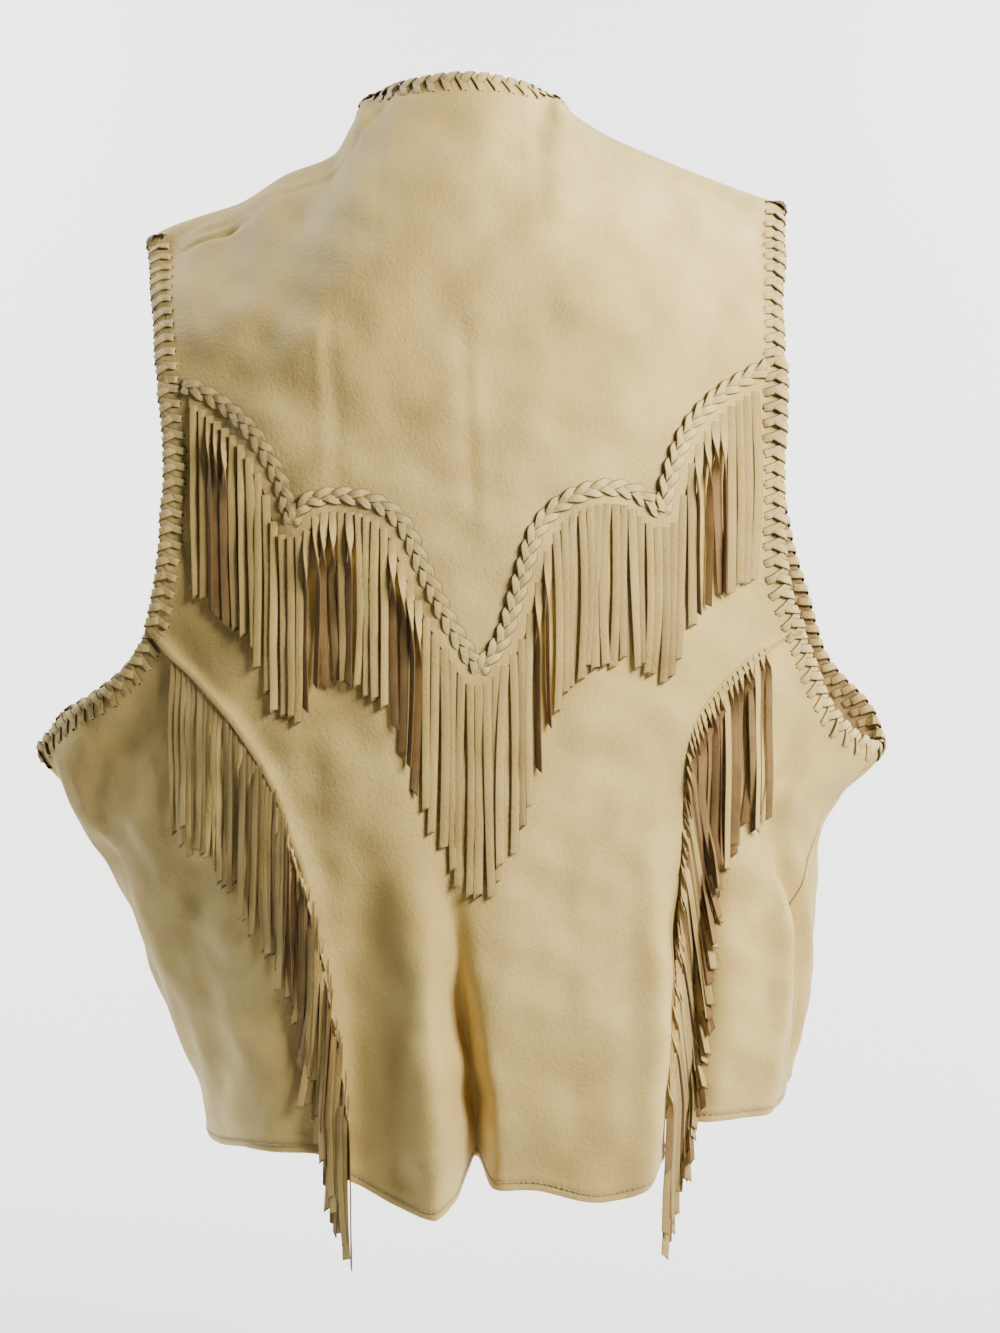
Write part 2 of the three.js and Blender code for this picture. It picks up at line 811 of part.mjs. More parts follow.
function princessCurve(side, armhole) {
  const rows = PRINCESS[side].map((row) => chartPoint(row, 'back'));
  const joint = onCurve(armhole, shareAtHeight(armhole, PRINCESS_TOP[side]));
  return chartCurve([hemPoint(rows[0].x), ...rows.slice(1), joint]);
}

function sideCurve(side) {
  const rows = SIDE_SEAMS[side];
  const upper = rows.slice(1).map(({ angle, z }) => new THREE.Vector2(angle, z));
  return chartCurve([hemPoint(rows[0].angle), ...upper]);
}

// Front edge from the hem to the neck corner, for the left front (-1) or the right one (1).
function frontEdgePoints(sign) {
  const place = (z) => {
    const x = frontCenterAt(z) + sign * frontEdgeAt(z);
    const fromMiddle = Math.asin((x - middleAt(z)) / halfAt(z)) / DEGREE;
    return new THREE.Vector2(sign * 180 - fromMiddle, z);
  };
  const foot = hemPoint(place(HEM_LEVEL).x);
  const lower = chartCurve([foot, ...FRONT_LOWER.map(place), place(CENTER_SPLIT)]);
  const cornerX = sign < 0 ? NECK_LEFT : NECK_RIGHT;
  const corner = chartPoint({ x: cornerX, z: topAt(cornerX) }, 'front');
  const heights = FRONT_EDGE.map((row) => row.z).reverse().filter((z) => z > CENTER_SPLIT);
  const upper = chartCurve([place(CENTER_SPLIT), ...heights.map(place), corner]);
  return joined(fromHem(lower, SEAM_ROWS), stretch(upper, 0, 1, FRONT_UPPER_ROWS));
}

// Places along the shoulder line between two x values, evenly spaced by length.
function topPlaces(fromX, toX, steps) {
  const rows = TOP_LINE.filter(({ x }) => x >= fromX && x <= toX);
  const curve = new THREE.CatmullRomCurve3(rows.map(({ x, z, neck }) => new THREE.Vector3(x, neck, z)));
  return Array.from({ length: steps + 1 }, (_, k) => {
    const { x } = curve.getPointAt(k / steps);
    return { x, z: topAt(x) };
  });
}

const armholes = {
  left: { back: armholeCurve('left', 'back'), front: armholeCurve('left', 'front') },
  right: { back: armholeCurve('right', 'back'), front: armholeCurve('right', 'front') },
};
const princess = {
  left: princessCurve('left', armholes.left.back),
  right: princessCurve('right', armholes.right.back),
};
const sides = { left: sideCurve('left'), right: sideCurve('right') };
const shoulders = {
  left: topPlaces(TOP_LINE[0].x, NECK_LEFT, SHOULDER_STEPS),
  right: topPlaces(NECK_RIGHT, TOP_LINE[TOP_LINE.length - 1].x, SHOULDER_STEPS),
};
const neckPlaces = topPlaces(NECK_LEFT, NECK_RIGHT, NECK_STEPS);
const yokeShare = {
  left: shareAtHeight(armholes.left.back, SCALLOPS[0][0].z),
  right: shareAtHeight(armholes.right.back, SCALLOPS[3][5].z),
};
const princessShare = {
  left: shareAtHeight(armholes.left.back, PRINCESS_TOP.left),
  right: shareAtHeight(armholes.right.back, PRINCESS_TOP.right),
};

// Scalloped seam between the yoke and the centre back, from armhole to armhole.
const scallopCurves = SCALLOPS.map((rows) => chartCurve(rows.map((row) => chartPoint(row, 'back'))));
const scallopSeam = scallopCurves
  .map((curve, k) => stretch(curve, 0, 1, SCALLOP_STEPS[k]))
  .reduce(joined);
scallopSeam[0] = onCurve(armholes.left.back, yokeShare.left);
scallopSeam[scallopSeam.length - 1] = onCurve(armholes.right.back, yokeShare.right);

const onBack = (place) => chartPoint(place, 'back');
const onFront = (place) => chartPoint(place, 'front');

function centerEdge(side) {
  const upper = stretch(armholes[side].back, princessShare[side], yokeShare[side], CENTER_UPPER_ROWS);
  return joined(fromHem(princess[side], SEAM_ROWS), upper);
}

function frontOuterEdge(side) {
  return joined(fromHem(sides[side], SEAM_ROWS), stretch(armholes[side].front, 1, 0, FRONT_UPPER_ROWS));
}

// The six leather panels.
const yoke = makePanel({
  bottom: scallopSeam,
  top: [shoulders.left.map(onBack), neckPlaces.map(onBack), shoulders.right.map(onBack)].reduce(joined),
  left: stretch(armholes.left.back, yokeShare.left, 0, YOKE_ROWS),
  right: stretch(armholes.right.back, yokeShare.right, 0, YOKE_ROWS),
});

const centerEdges = { left: centerEdge('left'), right: centerEdge('right') };
const center = makePanel({
  bottom: hemBetween(centerEdges.left[0].x, centerEdges.right[0].x, scallopSeam.length - 1),
  top: scallopSeam,
  left: centerEdges.left,
  right: centerEdges.right,
  hem: true,
});

const sideEdges = { left: fromHem(sides.left, SEAM_ROWS), right: fromHem(sides.right, SEAM_ROWS) };
const sideLeft = makePanel({
  bottom: hemBetween(sideEdges.left[0].x, centerEdges.left[0].x, SIDE_COLUMNS),
  top: stretch(armholes.left.back, 1, princessShare.left, SIDE_COLUMNS),
  left: sideEdges.left,
  right: centerEdges.left.slice(0, SEAM_ROWS + 1),
  hem: true,
});
const sideRight = makePanel({
  bottom: hemBetween(centerEdges.right[0].x, sideEdges.right[0].x, VALLEY_COLUMNS),
  top: stretch(armholes.right.back, princessShare.right, 1, VALLEY_COLUMNS),
  left: centerEdges.right.slice(0, SEAM_ROWS + 1),
  right: sideEdges.right,
  hem: true,
});

const frontInner = { left: frontEdgePoints(-1), right: frontEdgePoints(1) };
const frontOuter = { left: frontOuterEdge('left'), right: frontOuterEdge('right') };
const frontLeft = makePanel({
  bottom: hemBetween(frontInner.left[0].x, frontOuter.left[0].x, SHOULDER_STEPS),
  top: shoulders.left.map(onFront).reverse(),
  left: frontInner.left,
  right: frontOuter.left,
  hem: true,
});
const frontRight = makePanel({
  bottom: hemBetween(frontOuter.right[0].x, frontInner.right[0].x, SHOULDER_STEPS),
  top: shoulders.right.map(onFront).reverse(),
  left: frontOuter.right,
  right: frontInner.right,
  hem: true,
});

// Lacing round an armhole: down the back edge, under the arm and up the front edge. Where
// two panels meet at an angle, one more diagonal rib follows the corner cell.
const centerRows = SEAM_ROWS + CENTER_UPPER_ROWS;
const frontRows = SEAM_ROWS + FRONT_UPPER_ROWS;
const underarmLeft = [
  rib(frontLeft, 'right', frontLeft.columns, SEAM_ROWS, WAYS.right.diagonal),
  rib(frontLeft, 'right', frontLeft.columns, SEAM_ROWS, WAYS.right.straight),
];
const lacedLeft = [
  ...edgeRibs(yoke, 'left', YOKE_ROWS, 0),
  ...edgeRibs(center, 'left', centerRows - 1, SEAM_ROWS),
  ...edgeRibs(sideLeft, 'top', sideLeft.columns, 0),
  ...underarmLeft.map((corner) => ({ ...corner, upright: true })),
  ...edgeRibs(frontLeft, 'right', SEAM_ROWS, frontRows).slice(1),
];
const lacedRight = [
  ...edgeRibs(yoke, 'right', YOKE_ROWS, 0),
  ...edgeRibs(center, 'right', centerRows - 1, SEAM_ROWS),
  rib(center, 'right', center.columns, SEAM_ROWS, WAYS.right.diagonal),
  ...edgeRibs(sideRight, 'top', 0, sideRight.columns),
  ...edgeRibs(frontRight, 'left', SEAM_ROWS, frontRows),
];
const lacedNeck = edgeRibs(yoke, 'top', SHOULDER_STEPS + 1, SHOULDER_STEPS + NECK_STEPS - 1);
const lacedFrontLeft = edgeRibs(frontLeft, 'left', 0, frontRows - 1);
const lacedFrontRight = edgeRibs(frontRight, 'right', 0, frontRows - 1);

// A place on the back, lifted off the leather.
function onBackAt(x, z, lift) {
  const angle = angleAt(x, z, 'back');
  return surface(angle, z).addScaledVector(outwardAt(angle, z), lift);
}

// The outer facets of the back panels, with their spread in x and z.
const backFacets = [yoke, center, sideLeft, sideRight].flatMap(({ outer, columns, rows }) =>
  counting(0, rows - 1).flatMap((j) => counting(0, columns - 1).flatMap((i) => {
    const [a, b, c, d] = [outer[j][i], outer[j][i + 1], outer[j + 1][i + 1], outer[j + 1][i]];
    return [[a, b, c], [a, c, d]];
  })));

// Depth of the outermost facet of the back at a place, or of the smooth form below the hem.
function facetDepth(x, z) {
  let depth = Infinity;
  backFacets.forEach(([a, b, c]) => {
    if (Math.max(a.z, b.z, c.z) < z || Math.min(a.z, b.z, c.z) > z) return;
    const area = (b.x - a.x) * (c.z - a.z) - (c.x - a.x) * (b.z - a.z);
    const shareB = ((x - a.x) * (c.z - a.z) - (c.x - a.x) * (z - a.z)) / area;
    const shareC = ((b.x - a.x) * (z - a.z) - (x - a.x) * (b.z - a.z)) / area;
    if (shareB < 0 || shareC < 0 || shareB + shareC > 1) return;
    depth = Math.min(depth, a.y + shareB * (b.y - a.y) + shareC * (c.y - a.y));
  });
  return depth;
}

// Depth that clears the leather at a place and at some steps above and below it.
function clearDepth(x, z, steps) {
  const nearest = Math.min(...steps.map((step) => facetDepth(x, z + step)));
  return Number.isFinite(nearest) ? nearest : surface(angleAt(x, z, 'back'), z).y;
}

// Braid along the scallops. Its edges swing in and out with the plait, and at each point of
// the yoke the two arms meet in a mitre.
const flatScallops = SCALLOPS.map((rows) =>
  new THREE.CatmullRomCurve3(rows.map(({ x, z }) => new THREE.Vector3(x, z, 0)), false, 'centripetal'));

function upOf(tangent) {
  return new THREE.Vector3(-tangent.y, tangent.x, 0).normalize();
}

function mitre(before, after) {
  const upBefore = upOf(before.getTangentAt(1));
  const up = upBefore.clone().add(upOf(after.getTangentAt(0))).normalize();
  const halfTurn = Math.acos(up.dot(upBefore));
  const half = BRAID_WIDTH / 2;
  return {
    up,
    inside: half / Math.cos(halfTurn),
    outside: half * BRAID_TIP,
    skip: half * Math.tan(halfTurn) + BRAID_CORNER,
  };
}

function braidRings() {
  const mitres = flatScallops.slice(1).map((curve, k) => mitre(flatScallops[k], curve));
  const endSkip = LACE_REACH + BRAID_END;
  const half = BRAID_WIDTH / 2;
  const rings = [];
  const addRing = (place, up, upper, lower, height) => {
    const top = place.clone().addScaledVector(up, upper);
    const low = place.clone().addScaledVector(up, -lower);
    const slimTop = place.clone().addScaledVector(up, upper - 1);
    const slimLow = place.clone().addScaledVector(up, 1 - lower);
    rings.push([
      onBackAt(low.x, low.y, LIE_GAP),
      onBackAt(top.x, top.y, LIE_GAP),
      onBackAt(slimTop.x, slimTop.y, LIE_GAP + height),
      onBackAt(slimLow.x, slimLow.y, LIE_GAP + height),
    ]);
  };
  flatScallops.forEach((curve, k) => {
    const length = curve.getLength();
    const from = k === 0 ? endSkip : mitres[k - 1].skip;
    const to = length - (k === flatScallops.length - 1 ? endSkip : mitres[k].skip);
    const steps = Math.round((to - from) / BRAID_STEP);
    for (let s = 0; s <= steps; s += 1) {
      const share = (from + ((to - from) * s) / steps) / length;
      const swing = s % 2 === 0 ? 0.5 : -0.5;
      const up = upOf(curve.getTangentAt(share));
      addRing(curve.getPointAt(share), up, half + swing, half - swing, BRAID_WALL - swing);
    }
    if (k < mitres.length) {
      const { up, inside, outside } = mitres[k];
      addRing(curve.getPointAt(1), up, inside, outside, BRAID_WALL);
    }
  });
  return rings;
}

// Lower rim of everything within a reach of the scallops, so that the strip clears the braid.
const scallopDots = flatScallops.flatMap((curve) => curve.getSpacedPoints(90));

function belowScallops(x, reach) {
  const near = scallopDots.filter((dot) => Math.abs(dot.x - x) < reach);
  return Math.min(...near.map((dot) => dot.y - Math.sqrt(reach ** 2 - (dot.x - x) ** 2)));
}

const yokeDropAt = reading(YOKE_DROP, 'x', 'length');
const YOKE_FRINGE = { from: -175, to: 187, share: 0.81, lift: 1, near: 30, unequal: 4 };
const BRAID_CLEAR = BRAID_WIDTH / 2 + 1.9;
const CUT_SLANT = 1.5;

function yokeFringe(material) {
  const uneven = unevenness(7);
  const pitch = (YOKE_FRINGE.to - YOKE_FRINGE.from) / YOKE_STRANDS;
  const lift = YOKE_FRINGE.lift;
  const stations = [];
  const strands = [];
  for (let s = 0; s < YOKE_STRANDS; s += 1) {
    const leftX = YOKE_FRINGE.from + s * pitch;
    const rightX = leftX + pitch * YOKE_FRINGE.share;
    [leftX, rightX].forEach((x) => {
      const high = belowScallops(x, BRAID_CLEAR);
      const low = belowScallops(x, BRAID_CLEAR + FRINGE_STRIP);
      const out = outwardAt(angleAt(x, low, 'back'), low);
      stations.push({ top: onBackAt(x, high, 0), low: onBackAt(x, low, 0), out, lift });
    });
    const middle = (leftX + rightX) / 2;
    const root = belowScallops(middle, BRAID_CLEAR + FRINGE_STRIP);
    const length = yokeDropAt(middle) + YOKE_FRINGE.unequal * uneven();
    const heights = [root - YOKE_FRINGE.near, root - length];
    strands.push(heights.map((z, level) => {
      const slant = level * CUT_SLANT * uneven();
      return [
        onBackAt(leftX, z + slant, lift),
        onBackAt(rightX, z - slant, lift),
        onBackAt(rightX, z - slant, lift + FRINGE_WALL),
        onBackAt(leftX, z + slant, lift + FRINGE_WALL),
      ];
    }));
  }
  return fringeMesh('yoke_fringe', stations, strands, material);
}

// Seam fringe. The strip follows the seam on the side panel. Where the seam is steep the
// strands crowd, so they stand on edge and lie beside each other like the leaves of a book.
const SEAM_FRINGE = {
  start: 26, side: 1.4, share: 0.45, reach: 2.2, least: 2.3, apart: 6,
  rootLift: { left: 0.8, right: 1.2 }, lift: 3,
  near: 22, mid: 62, unequal: 5,
};
const FLAT_LEAN = 8;
const CROWDED_LEAN = 65;
const ROOT_SAMPLES = 4;

const BACKWARDS = new THREE.Vector3(0, -1, 0);
const NEAR_STEPS = [-14, -7, 0, 7, 14];
const ASIDE_STEPS = [-5, 0, 5];

function seamFringe(side, material) {
  const sign = side === 'left' ? 1 : -1;
  const uneven = unevenness(side === 'left' ? 21 : 33);
  const joint = princess[side].getPointAt(1);
  const angle = joint.x / CHART_SCALE;
  const jointX = middleAt(joint.y) + halfAt(joint.y) * Math.sin(angle * DEGREE);
  const rows = [{ x: jointX, z: joint.y }, ...[...PRINCESS[side]].reverse()];
  const seam = new THREE.CatmullRomCurve3(
    rows.map(({ x, z }) => new THREE.Vector3(x, z, 0)), false, 'centripetal');
  const length = seam.getLength();
  let endShare = 1;
  while (seam.getPointAt(endShare).y < SEAM_FRINGE_END[side]) endShare -= 0.002;
  const pitch = (endShare * length - SEAM_FRINGE.start) / SEAM_STRANDS;
  const station = (distance) => {
    const share = distance / length;
    const place = seam.getPointAt(share);
    const tangent = seam.getTangentAt(share);
    const aside = new THREE.Vector3(sign * tangent.y, -sign * tangent.x, 0);
    const top = place.clone().addScaledVector(aside, SEAM_FRINGE.side);
    const low = top.clone().addScaledVector(aside, FRINGE_STRIP);
    return {
      top: new THREE.Vector3(top.x, clearDepth(top.x, top.y, [0]), top.y),
      low: new THREE.Vector3(low.x, clearDepth(low.x, low.y, [0]), low.y),
      out: BACKWARDS,
      lift: SEAM_FRINGE.rootLift[side],
      flat: low,
    };
  };
  const pairs = Array.from({ length: SEAM_STRANDS }, (_, s) => {
    const from = SEAM_FRINGE.start + s * pitch;
    return [station(from), station(from + pitch * SEAM_FRINGE.share)];
  });
  // Roots along the seam, some for each strand.
  const roots = counting(0, (SEAM_STRANDS - 1) * ROOT_SAMPLES).map((sample) => {
    const from = SEAM_FRINGE.start + (sample * pitch) / ROOT_SAMPLES;
    const first = station(from).flat;
    const second = station(from + pitch * SEAM_FRINGE.share).flat;
    return { x: first.x - sign * SEAM_FRINGE.reach, z: (first.y + second.y) / 2 };
  });
  // Across place of a strand at a height: it hangs straight down, or is pushed aside by the
  // strands that come out of the seam below its own root.
  const placeAt = (s, z) => {
    const own = s * ROOT_SAMPLES;
    const pushed = roots.slice(own)
      .filter((root, k) => k === 0 || root.z > z)
      .map((root, k) => root.x - (sign * SEAM_FRINGE.least * k) / ROOT_SAMPLES);
    return sign > 0 ? Math.min(...pushed) : Math.max(...pushed);
  };
  const strands = counting(0, SEAM_STRANDS - 1).map((s) => {
    const drop = SEAM_DROP + SEAM_FRINGE.unequal * uneven();
    const slant = CUT_SLANT * uneven();
    const downs = [SEAM_FRINGE.near, SEAM_FRINGE.mid, drop];
    const root = roots[s * ROOT_SAMPLES];
    const next = Math.min(s + 1, SEAM_STRANDS - 1);
    const spaces = downs.map((down) =>
      Math.abs(placeAt(next, root.z - down) - placeAt(s, root.z - down)));
    const lean = (Math.min(...spaces) < SEAM_FRINGE.apart ? CROWDED_LEAN : FLAT_LEAN) * DEGREE;
    const across = new THREE.Vector3(sign * Math.cos(lean), -Math.sin(lean), 0);
    const thick = new THREE.Vector3(-sign * Math.sin(lean), -Math.cos(lean), 0);
    return downs.map((down, level) => {
      const z = root.z - down;
      const x = placeAt(s, z);
      const edgeX = x + across.x * STRAND_WIDTH;
      const depths = ASIDE_STEPS.flatMap((step) => [
        clearDepth(x + step, z, NEAR_STEPS),
        clearDepth(edgeX + step, z, NEAR_STEPS) - across.y * STRAND_WIDTH,
      ]);
      const foot = new THREE.Vector3(x, Math.min(...depths) - SEAM_FRINGE.lift, z);
      const edge = foot.clone().addScaledVector(across, STRAND_WIDTH);
      const cut = level === 2 ? slant : 0;
      foot.z += cut;
      edge.z -= cut;
      return [
        foot,
        edge,
        edge.clone().addScaledVector(thick, FRINGE_WALL),
        foot.clone().addScaledVector(thick, FRINGE_WALL),
      ];
    });
  });
  return fringeMesh('seam_fringe_' + side, pairs.flat(), strands, material);
}

// Colours and finish of the leathers.
function leather(color, roughness) {
  return new THREE.MeshStandardMaterial({ color, roughness, metalness: 0 });
}

const bodyLeather = leather(0xd2c39a, 0.75);
const laceLeather = leather(0xd8cba6, 0.7);
const fringeLeather = leather(0xc9b78c, 0.8);

const vest = new THREE.Group();
vest.add(
  panelMesh('back_yoke', yoke, bodyLeather),
  panelMesh('back_center', center, bodyLeather),
  panelMesh('side_back_left', sideLeft, bodyLeather),
  panelMesh('side_back_right', sideRight, bodyLeather),
  panelMesh('front_left', frontLeft, bodyLeather),
  panelMesh('front_right', frontRight, bodyLeather),
  barMesh('armhole_lacing_left', lacedLeft.map(lacingRing), null, laceLeather),
  barMesh('armhole_lacing_right', lacedRight.map(lacingRing), null, laceLeather),
  barMesh('neck_lacing', lacedNeck.map(lacingRing), LACING_CAP, laceLeather),
  barMesh('front_lacing_left', lacedFrontLeft.map(lacingRing), LACING_CAP, laceLeather),
  barMesh('front_lacing_right', lacedFrontRight.map(lacingRing), LACING_CAP, laceLeather),
  barMesh('yoke_braid', braidRings(), BRAID_CAP, laceLeather),
  yokeFringe(fringeLeather),
  seamFringe('left', fringeLeather),
  seamFringe('right', fringeLeather),
);

export default vest;
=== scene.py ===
# %% [markdown]
# # A fringed leather vest
#
# This lesson dresses a western vest: six panels of pale soft leather, plaited and laced edges,
# and three long cut fringes. The vest is filled out and hollow, as on a wearer.
# The solids from the frame give its size and place. Every shape here is worked out from the
# same few tables, as whole numpy arrays, in millimetres, and becomes metres in the mesh.

import math

import bpy
import numpy as np
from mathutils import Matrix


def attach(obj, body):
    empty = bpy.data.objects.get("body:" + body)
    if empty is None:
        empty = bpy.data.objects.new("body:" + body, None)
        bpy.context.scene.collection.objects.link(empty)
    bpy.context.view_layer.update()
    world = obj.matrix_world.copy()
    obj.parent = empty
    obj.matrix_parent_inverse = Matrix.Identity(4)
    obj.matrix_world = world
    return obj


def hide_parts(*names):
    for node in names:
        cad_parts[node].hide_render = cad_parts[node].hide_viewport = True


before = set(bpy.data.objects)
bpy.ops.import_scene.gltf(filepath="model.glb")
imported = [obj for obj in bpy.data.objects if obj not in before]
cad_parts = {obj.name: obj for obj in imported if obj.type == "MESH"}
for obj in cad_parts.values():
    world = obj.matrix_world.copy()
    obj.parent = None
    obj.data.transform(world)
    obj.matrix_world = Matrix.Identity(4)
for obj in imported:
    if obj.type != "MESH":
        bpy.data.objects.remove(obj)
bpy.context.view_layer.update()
print("nodes in the frame:", len(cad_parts))

# %% Measures
MM = 0.001
DEGREE = math.pi / 180
LEATHER = 1.8
HEM_WALL = 3.0
HEM_LEVEL = -590
HEM_STITCH = 5.0
SHOULDER_ROLL = 150
SHOULDER_POWER = 0.6
NECK_POWER = 0.6
SEAM_FLAT = 14
NECK_STAND = 50
SIDE_DEPTH = 5
NECK_LEFT = -68
NECK_RIGHT = 59
CHART_SCALE = 4
EVEN_STEPS = (-20, -10, 0, 10, 20)
EVEN_DEPTH = 50


def table(names, rows):
    """A small table: one array for each named column."""
    return dict(zip(names.split(), np.array(rows, float).T))


# %% [markdown]
# ## The form of the body
#
# A worn vest is a tube of leather round a chest. Its cross section at each height is a leaf
# shape, wide at the arms and round at the waist, and it closes in to a line at the shoulders.
# One function of the angle round the body and the height gives the whole outer face, so all
# panels fit at their seams.

# %% Tables of the body
SECTIONS = table("z left right back front leaf", [
    (120, -285, 278, -106, 92, 0.4),
    (-327, -285, 278, -106, 94, 0.4),
    (-362, -268, 252, -109, 97, 0.3),
    (-383, -256, 239, -111, 99, 0.24),
    (-404, -242, 235, -113, 101, 0.2),
    (-470, -213, 232, -120, 107, 0.1),
    (-520, -193, 224, -126, 114, 0.05),
    (-557, -179, 215, -130, 119, 0),
    (-604, -168, 203, -132, 122, 0),
])
TOP_LINE = table("x z neck", [
    (-213, 10, 0),
    (-204, 17, 0),
    (-177, 27, 0),
    (-152, 35, 0),
    (-121, 54, 0),
    (-89, 67, 0),
    (-76, 88, 0),
    (-68, 104, 0),
    (-45, 106, -31),
    (0, 107, -NECK_STAND),
    (38, 106, -32),
    (59, 105, 0),
    (71, 94, 0),
    (93, 80, 0),
    (120, 68, 0),
    (150, 56, 0),
    (182, 44, 0),
    (211, 34, 0),
])
BACK_HEM = table("x z", [
    (-168, -588),
    (-130, -578),
    (-93, -576),
    (-67, -588),
    (-42, -599),
    (-16, -604),
    (-3, -597),
    (4, -576),
    (17, -588),
    (40, -587),
    (82, -594),
    (110, -588),
    (125, -571),
    (139, -561),
    (177, -561),
    (203, -553),
])
FRONT_HEM = table("x z", [
    (-168, -588),
    (-60, -586),
    (17, -592),
    (120, -580),
    (203, -553),
])


# %% Reading a table between its rows
def reading(rows, key, column):
    """A smooth reading of one column that never overshoots.

    Between two rows it is a cubic, and its slope at each row is the harmonic mean of the
    slopes on the row's two sides, or nothing where they differ in sign.
    """
    order = np.argsort(rows[key])
    at = rows[key][order]
    values = rows[column][order]
    slopes = np.diff(values) / np.diff(at)
    before, after = slopes[:-1], slopes[1:]
    together = np.where(before * after > 0, before + after, 1)
    inner = np.where(before * after > 0, 2 * before * after / together, 0)
    tangents = np.concatenate([slopes[:1], inner, slopes[-1:]])

    def read(place):
        place = np.clip(place, at[0], at[-1])
        k = np.clip(np.searchsorted(at, place, side="right") - 1, 0, len(at) - 2)
        step = at[k + 1] - at[k]
        t = (place - at[k]) / step
        start = values[k] * (1 + 2 * t) + tangents[k] * step * t
        end = values[k + 1] * (3 - 2 * t) - tangents[k + 1] * step * (1 - t)
        return start * (1 - t) ** 2 + end * t ** 2

    return read


left_at, right_at, back_at, front_at, leaf_at = (
    reading(SECTIONS, "z", column) for column in ("left", "right", "back", "front", "leaf")
)
top_at = reading(TOP_LINE, "x", "z")
neck_at = reading(TOP_LINE, "x", "neck")
back_hem_at = reading(BACK_HEM, "x", "z")
front_hem_at = reading(FRONT_HEM, "x", "z")
print("hem at the centre back:", round(float(back_hem_at(0)), 1), "mm")


# %% The plain form
def smooth(value):
    """Rises softly from 0 to 1: three squares less two cubes."""
    t = np.clip(value, 0, 1)
    return t * t * (3 - 2 * t)


def unit(vectors):
    """The same directions with length 1."""
    return vectors / np.maximum(np.linalg.norm(vectors, axis=-1, keepdims=True), 1e-9)


def middle_at(z):
    return (left_at(z) + right_at(z)) / 2


def half_at(z):
    return (right_at(z) - left_at(z)) / 2


def angle_of(x, z, face):
    """Degrees round the body of the place at x in the section at height z."""
    across = np.clip((x - middle_at(z)) / half_at(z), -1, 1)
    angle = np.arcsin(across) / DEGREE
    if face == "back":
        return angle
    return np.where(across < 0, -180 - angle, 180 - angle)


def plain_point(angle, z):
    """The section without folds.

    Across is the sine of the angle and the depth is its cosine, thinned towards the sides by
    the leaf share. Under the shoulder line the depth grows as a power of a sine. That line
    is evened a little below the seam, so the step up to the neck leaves no sharp fold.
    """
    angle, z = np.broadcast_arrays(np.asarray(angle, float), np.asarray(z, float))
    across = np.sin(angle * DEGREE)
    towards = np.cos(angle * DEGREE)
    x = middle_at(z) + half_at(z) * across
    depth = np.where(towards > 0, back_at(z), front_at(z))
    swell = np.abs(towards) * (1 - leaf_at(z) * across ** 2)
    full = SIDE_DEPTH + (depth - SIDE_DEPTH) * swell
    top = top_at(x)
    evened = np.mean([top_at(x + step) for step in EVEN_STEPS], axis=0)
    line = top + (evened - top) * smooth((top - z) / EVEN_DEPTH)
    drop = np.clip((line - z) / SHOULDER_ROLL, 0, 1)
    neck = np.where(towards > 0, neck_at(x), 0)
    power = SHOULDER_POWER + NECK_POWER * np.abs(neck) / NECK_STAND
    rise = np.sin(drop * math.pi / 2) ** power
    return np.stack([x, neck + (full - neck) * rise, z], -1)


# %% [markdown]
# ## Folds and creases
#
# Soft leather hangs in a few large folds that start under the shoulder blades and deepen to
# the hem. They are ridges and troughs with a bell-shaped profile, laid where the real vest
# has them. Small wrinkles run along the shoulder seams and across the yoke, and the hide is
# never quite even, so a sum of seeded waves moves it by a few tenths of a millimetre.

# %% Large folds
def fold(face, width, out, start, full, line):
    """A fold along a line of heights and x places. It grows from the start to the full height."""
    rows = table("z x", line)
    rows["angle"] = angle_of(rows["x"], rows["z"], face)
    along = reading(rows, "z", "angle")
    return {"along": along, "width": width, "out": out, "start": start, "full": full}


FOLDS = [
    fold("back", 20, 17, -300, -560, [(-355, -34), (-430, -28), (-505, -21), (-600, -15)]),
    fold("back", 9, -44, -375, -585, [(-355, -14), (-430, -8), (-505, -1), (-600, 5)]),
    fold("back", 36, 8, -340, -580, [(-400, 74), (-600, 78)]),
    fold("back", 15, 9, -262, -470, [(-262, 133), (-345, 129), (-468, 118), (-600, 106)]),
    fold("back", 16, -32, -285, -500, [(-300, 152), (-400, 149), (-468, 144), (-600, 132)]),
    fold("back", 13, 5, -240, -420, [(-265, 198), (-400, 203), (-480, 204), (-600, 178)]),
    fold("back", 17, -12, -235, -420, [(-265, 214), (-330, 216), (-480, 224), (-600, 202)]),
    fold("back", 30, 6, -340, -560, [(-380, -170), (-600, -120)]),
    fold("front", 24, 11, -330, -580, [(-380, -90), (-600, -66)]),
    fold("front", 20, -11, -340, -580, [(-380, -150), (-600, -122)]),
    fold("front", 24, 12, -330, -580, [(-380, 92), (-600, 92)]),
    fold("front", 19, -12, -340, -580, [(-380, 150), (-600, 144)]),
]


SLOPE_STEP = 0.5
FACING_STEP = 0.6
FACING_RISE = 2


def fold_out(angle, z):
    """Sum of the folds: each is its height times a bell of the distance from its line."""
    per_degree = half_at(z) * DEGREE
    total = np.zeros(np.broadcast(angle, z).shape)
    for each in FOLDS:
        away = (angle - each["along"](z)) * per_degree / each["width"]
        grown = smooth((each["start"] - z) / (each["start"] - each["full"]))
        total = total + each["out"] * grown * np.exp(-away ** 2)
    return total


def surface(angle, z):
    """The plain form moved out by the folds, level with the ground."""
    along = plain_point(angle + SLOPE_STEP, z) - plain_point(angle - SLOPE_STEP, z)
    outward = unit(np.stack([along[..., 1], -along[..., 0], np.zeros(along.shape[:-1])], -1))
    return plain_point(angle, z) + outward * fold_out(angle, z)[..., None]


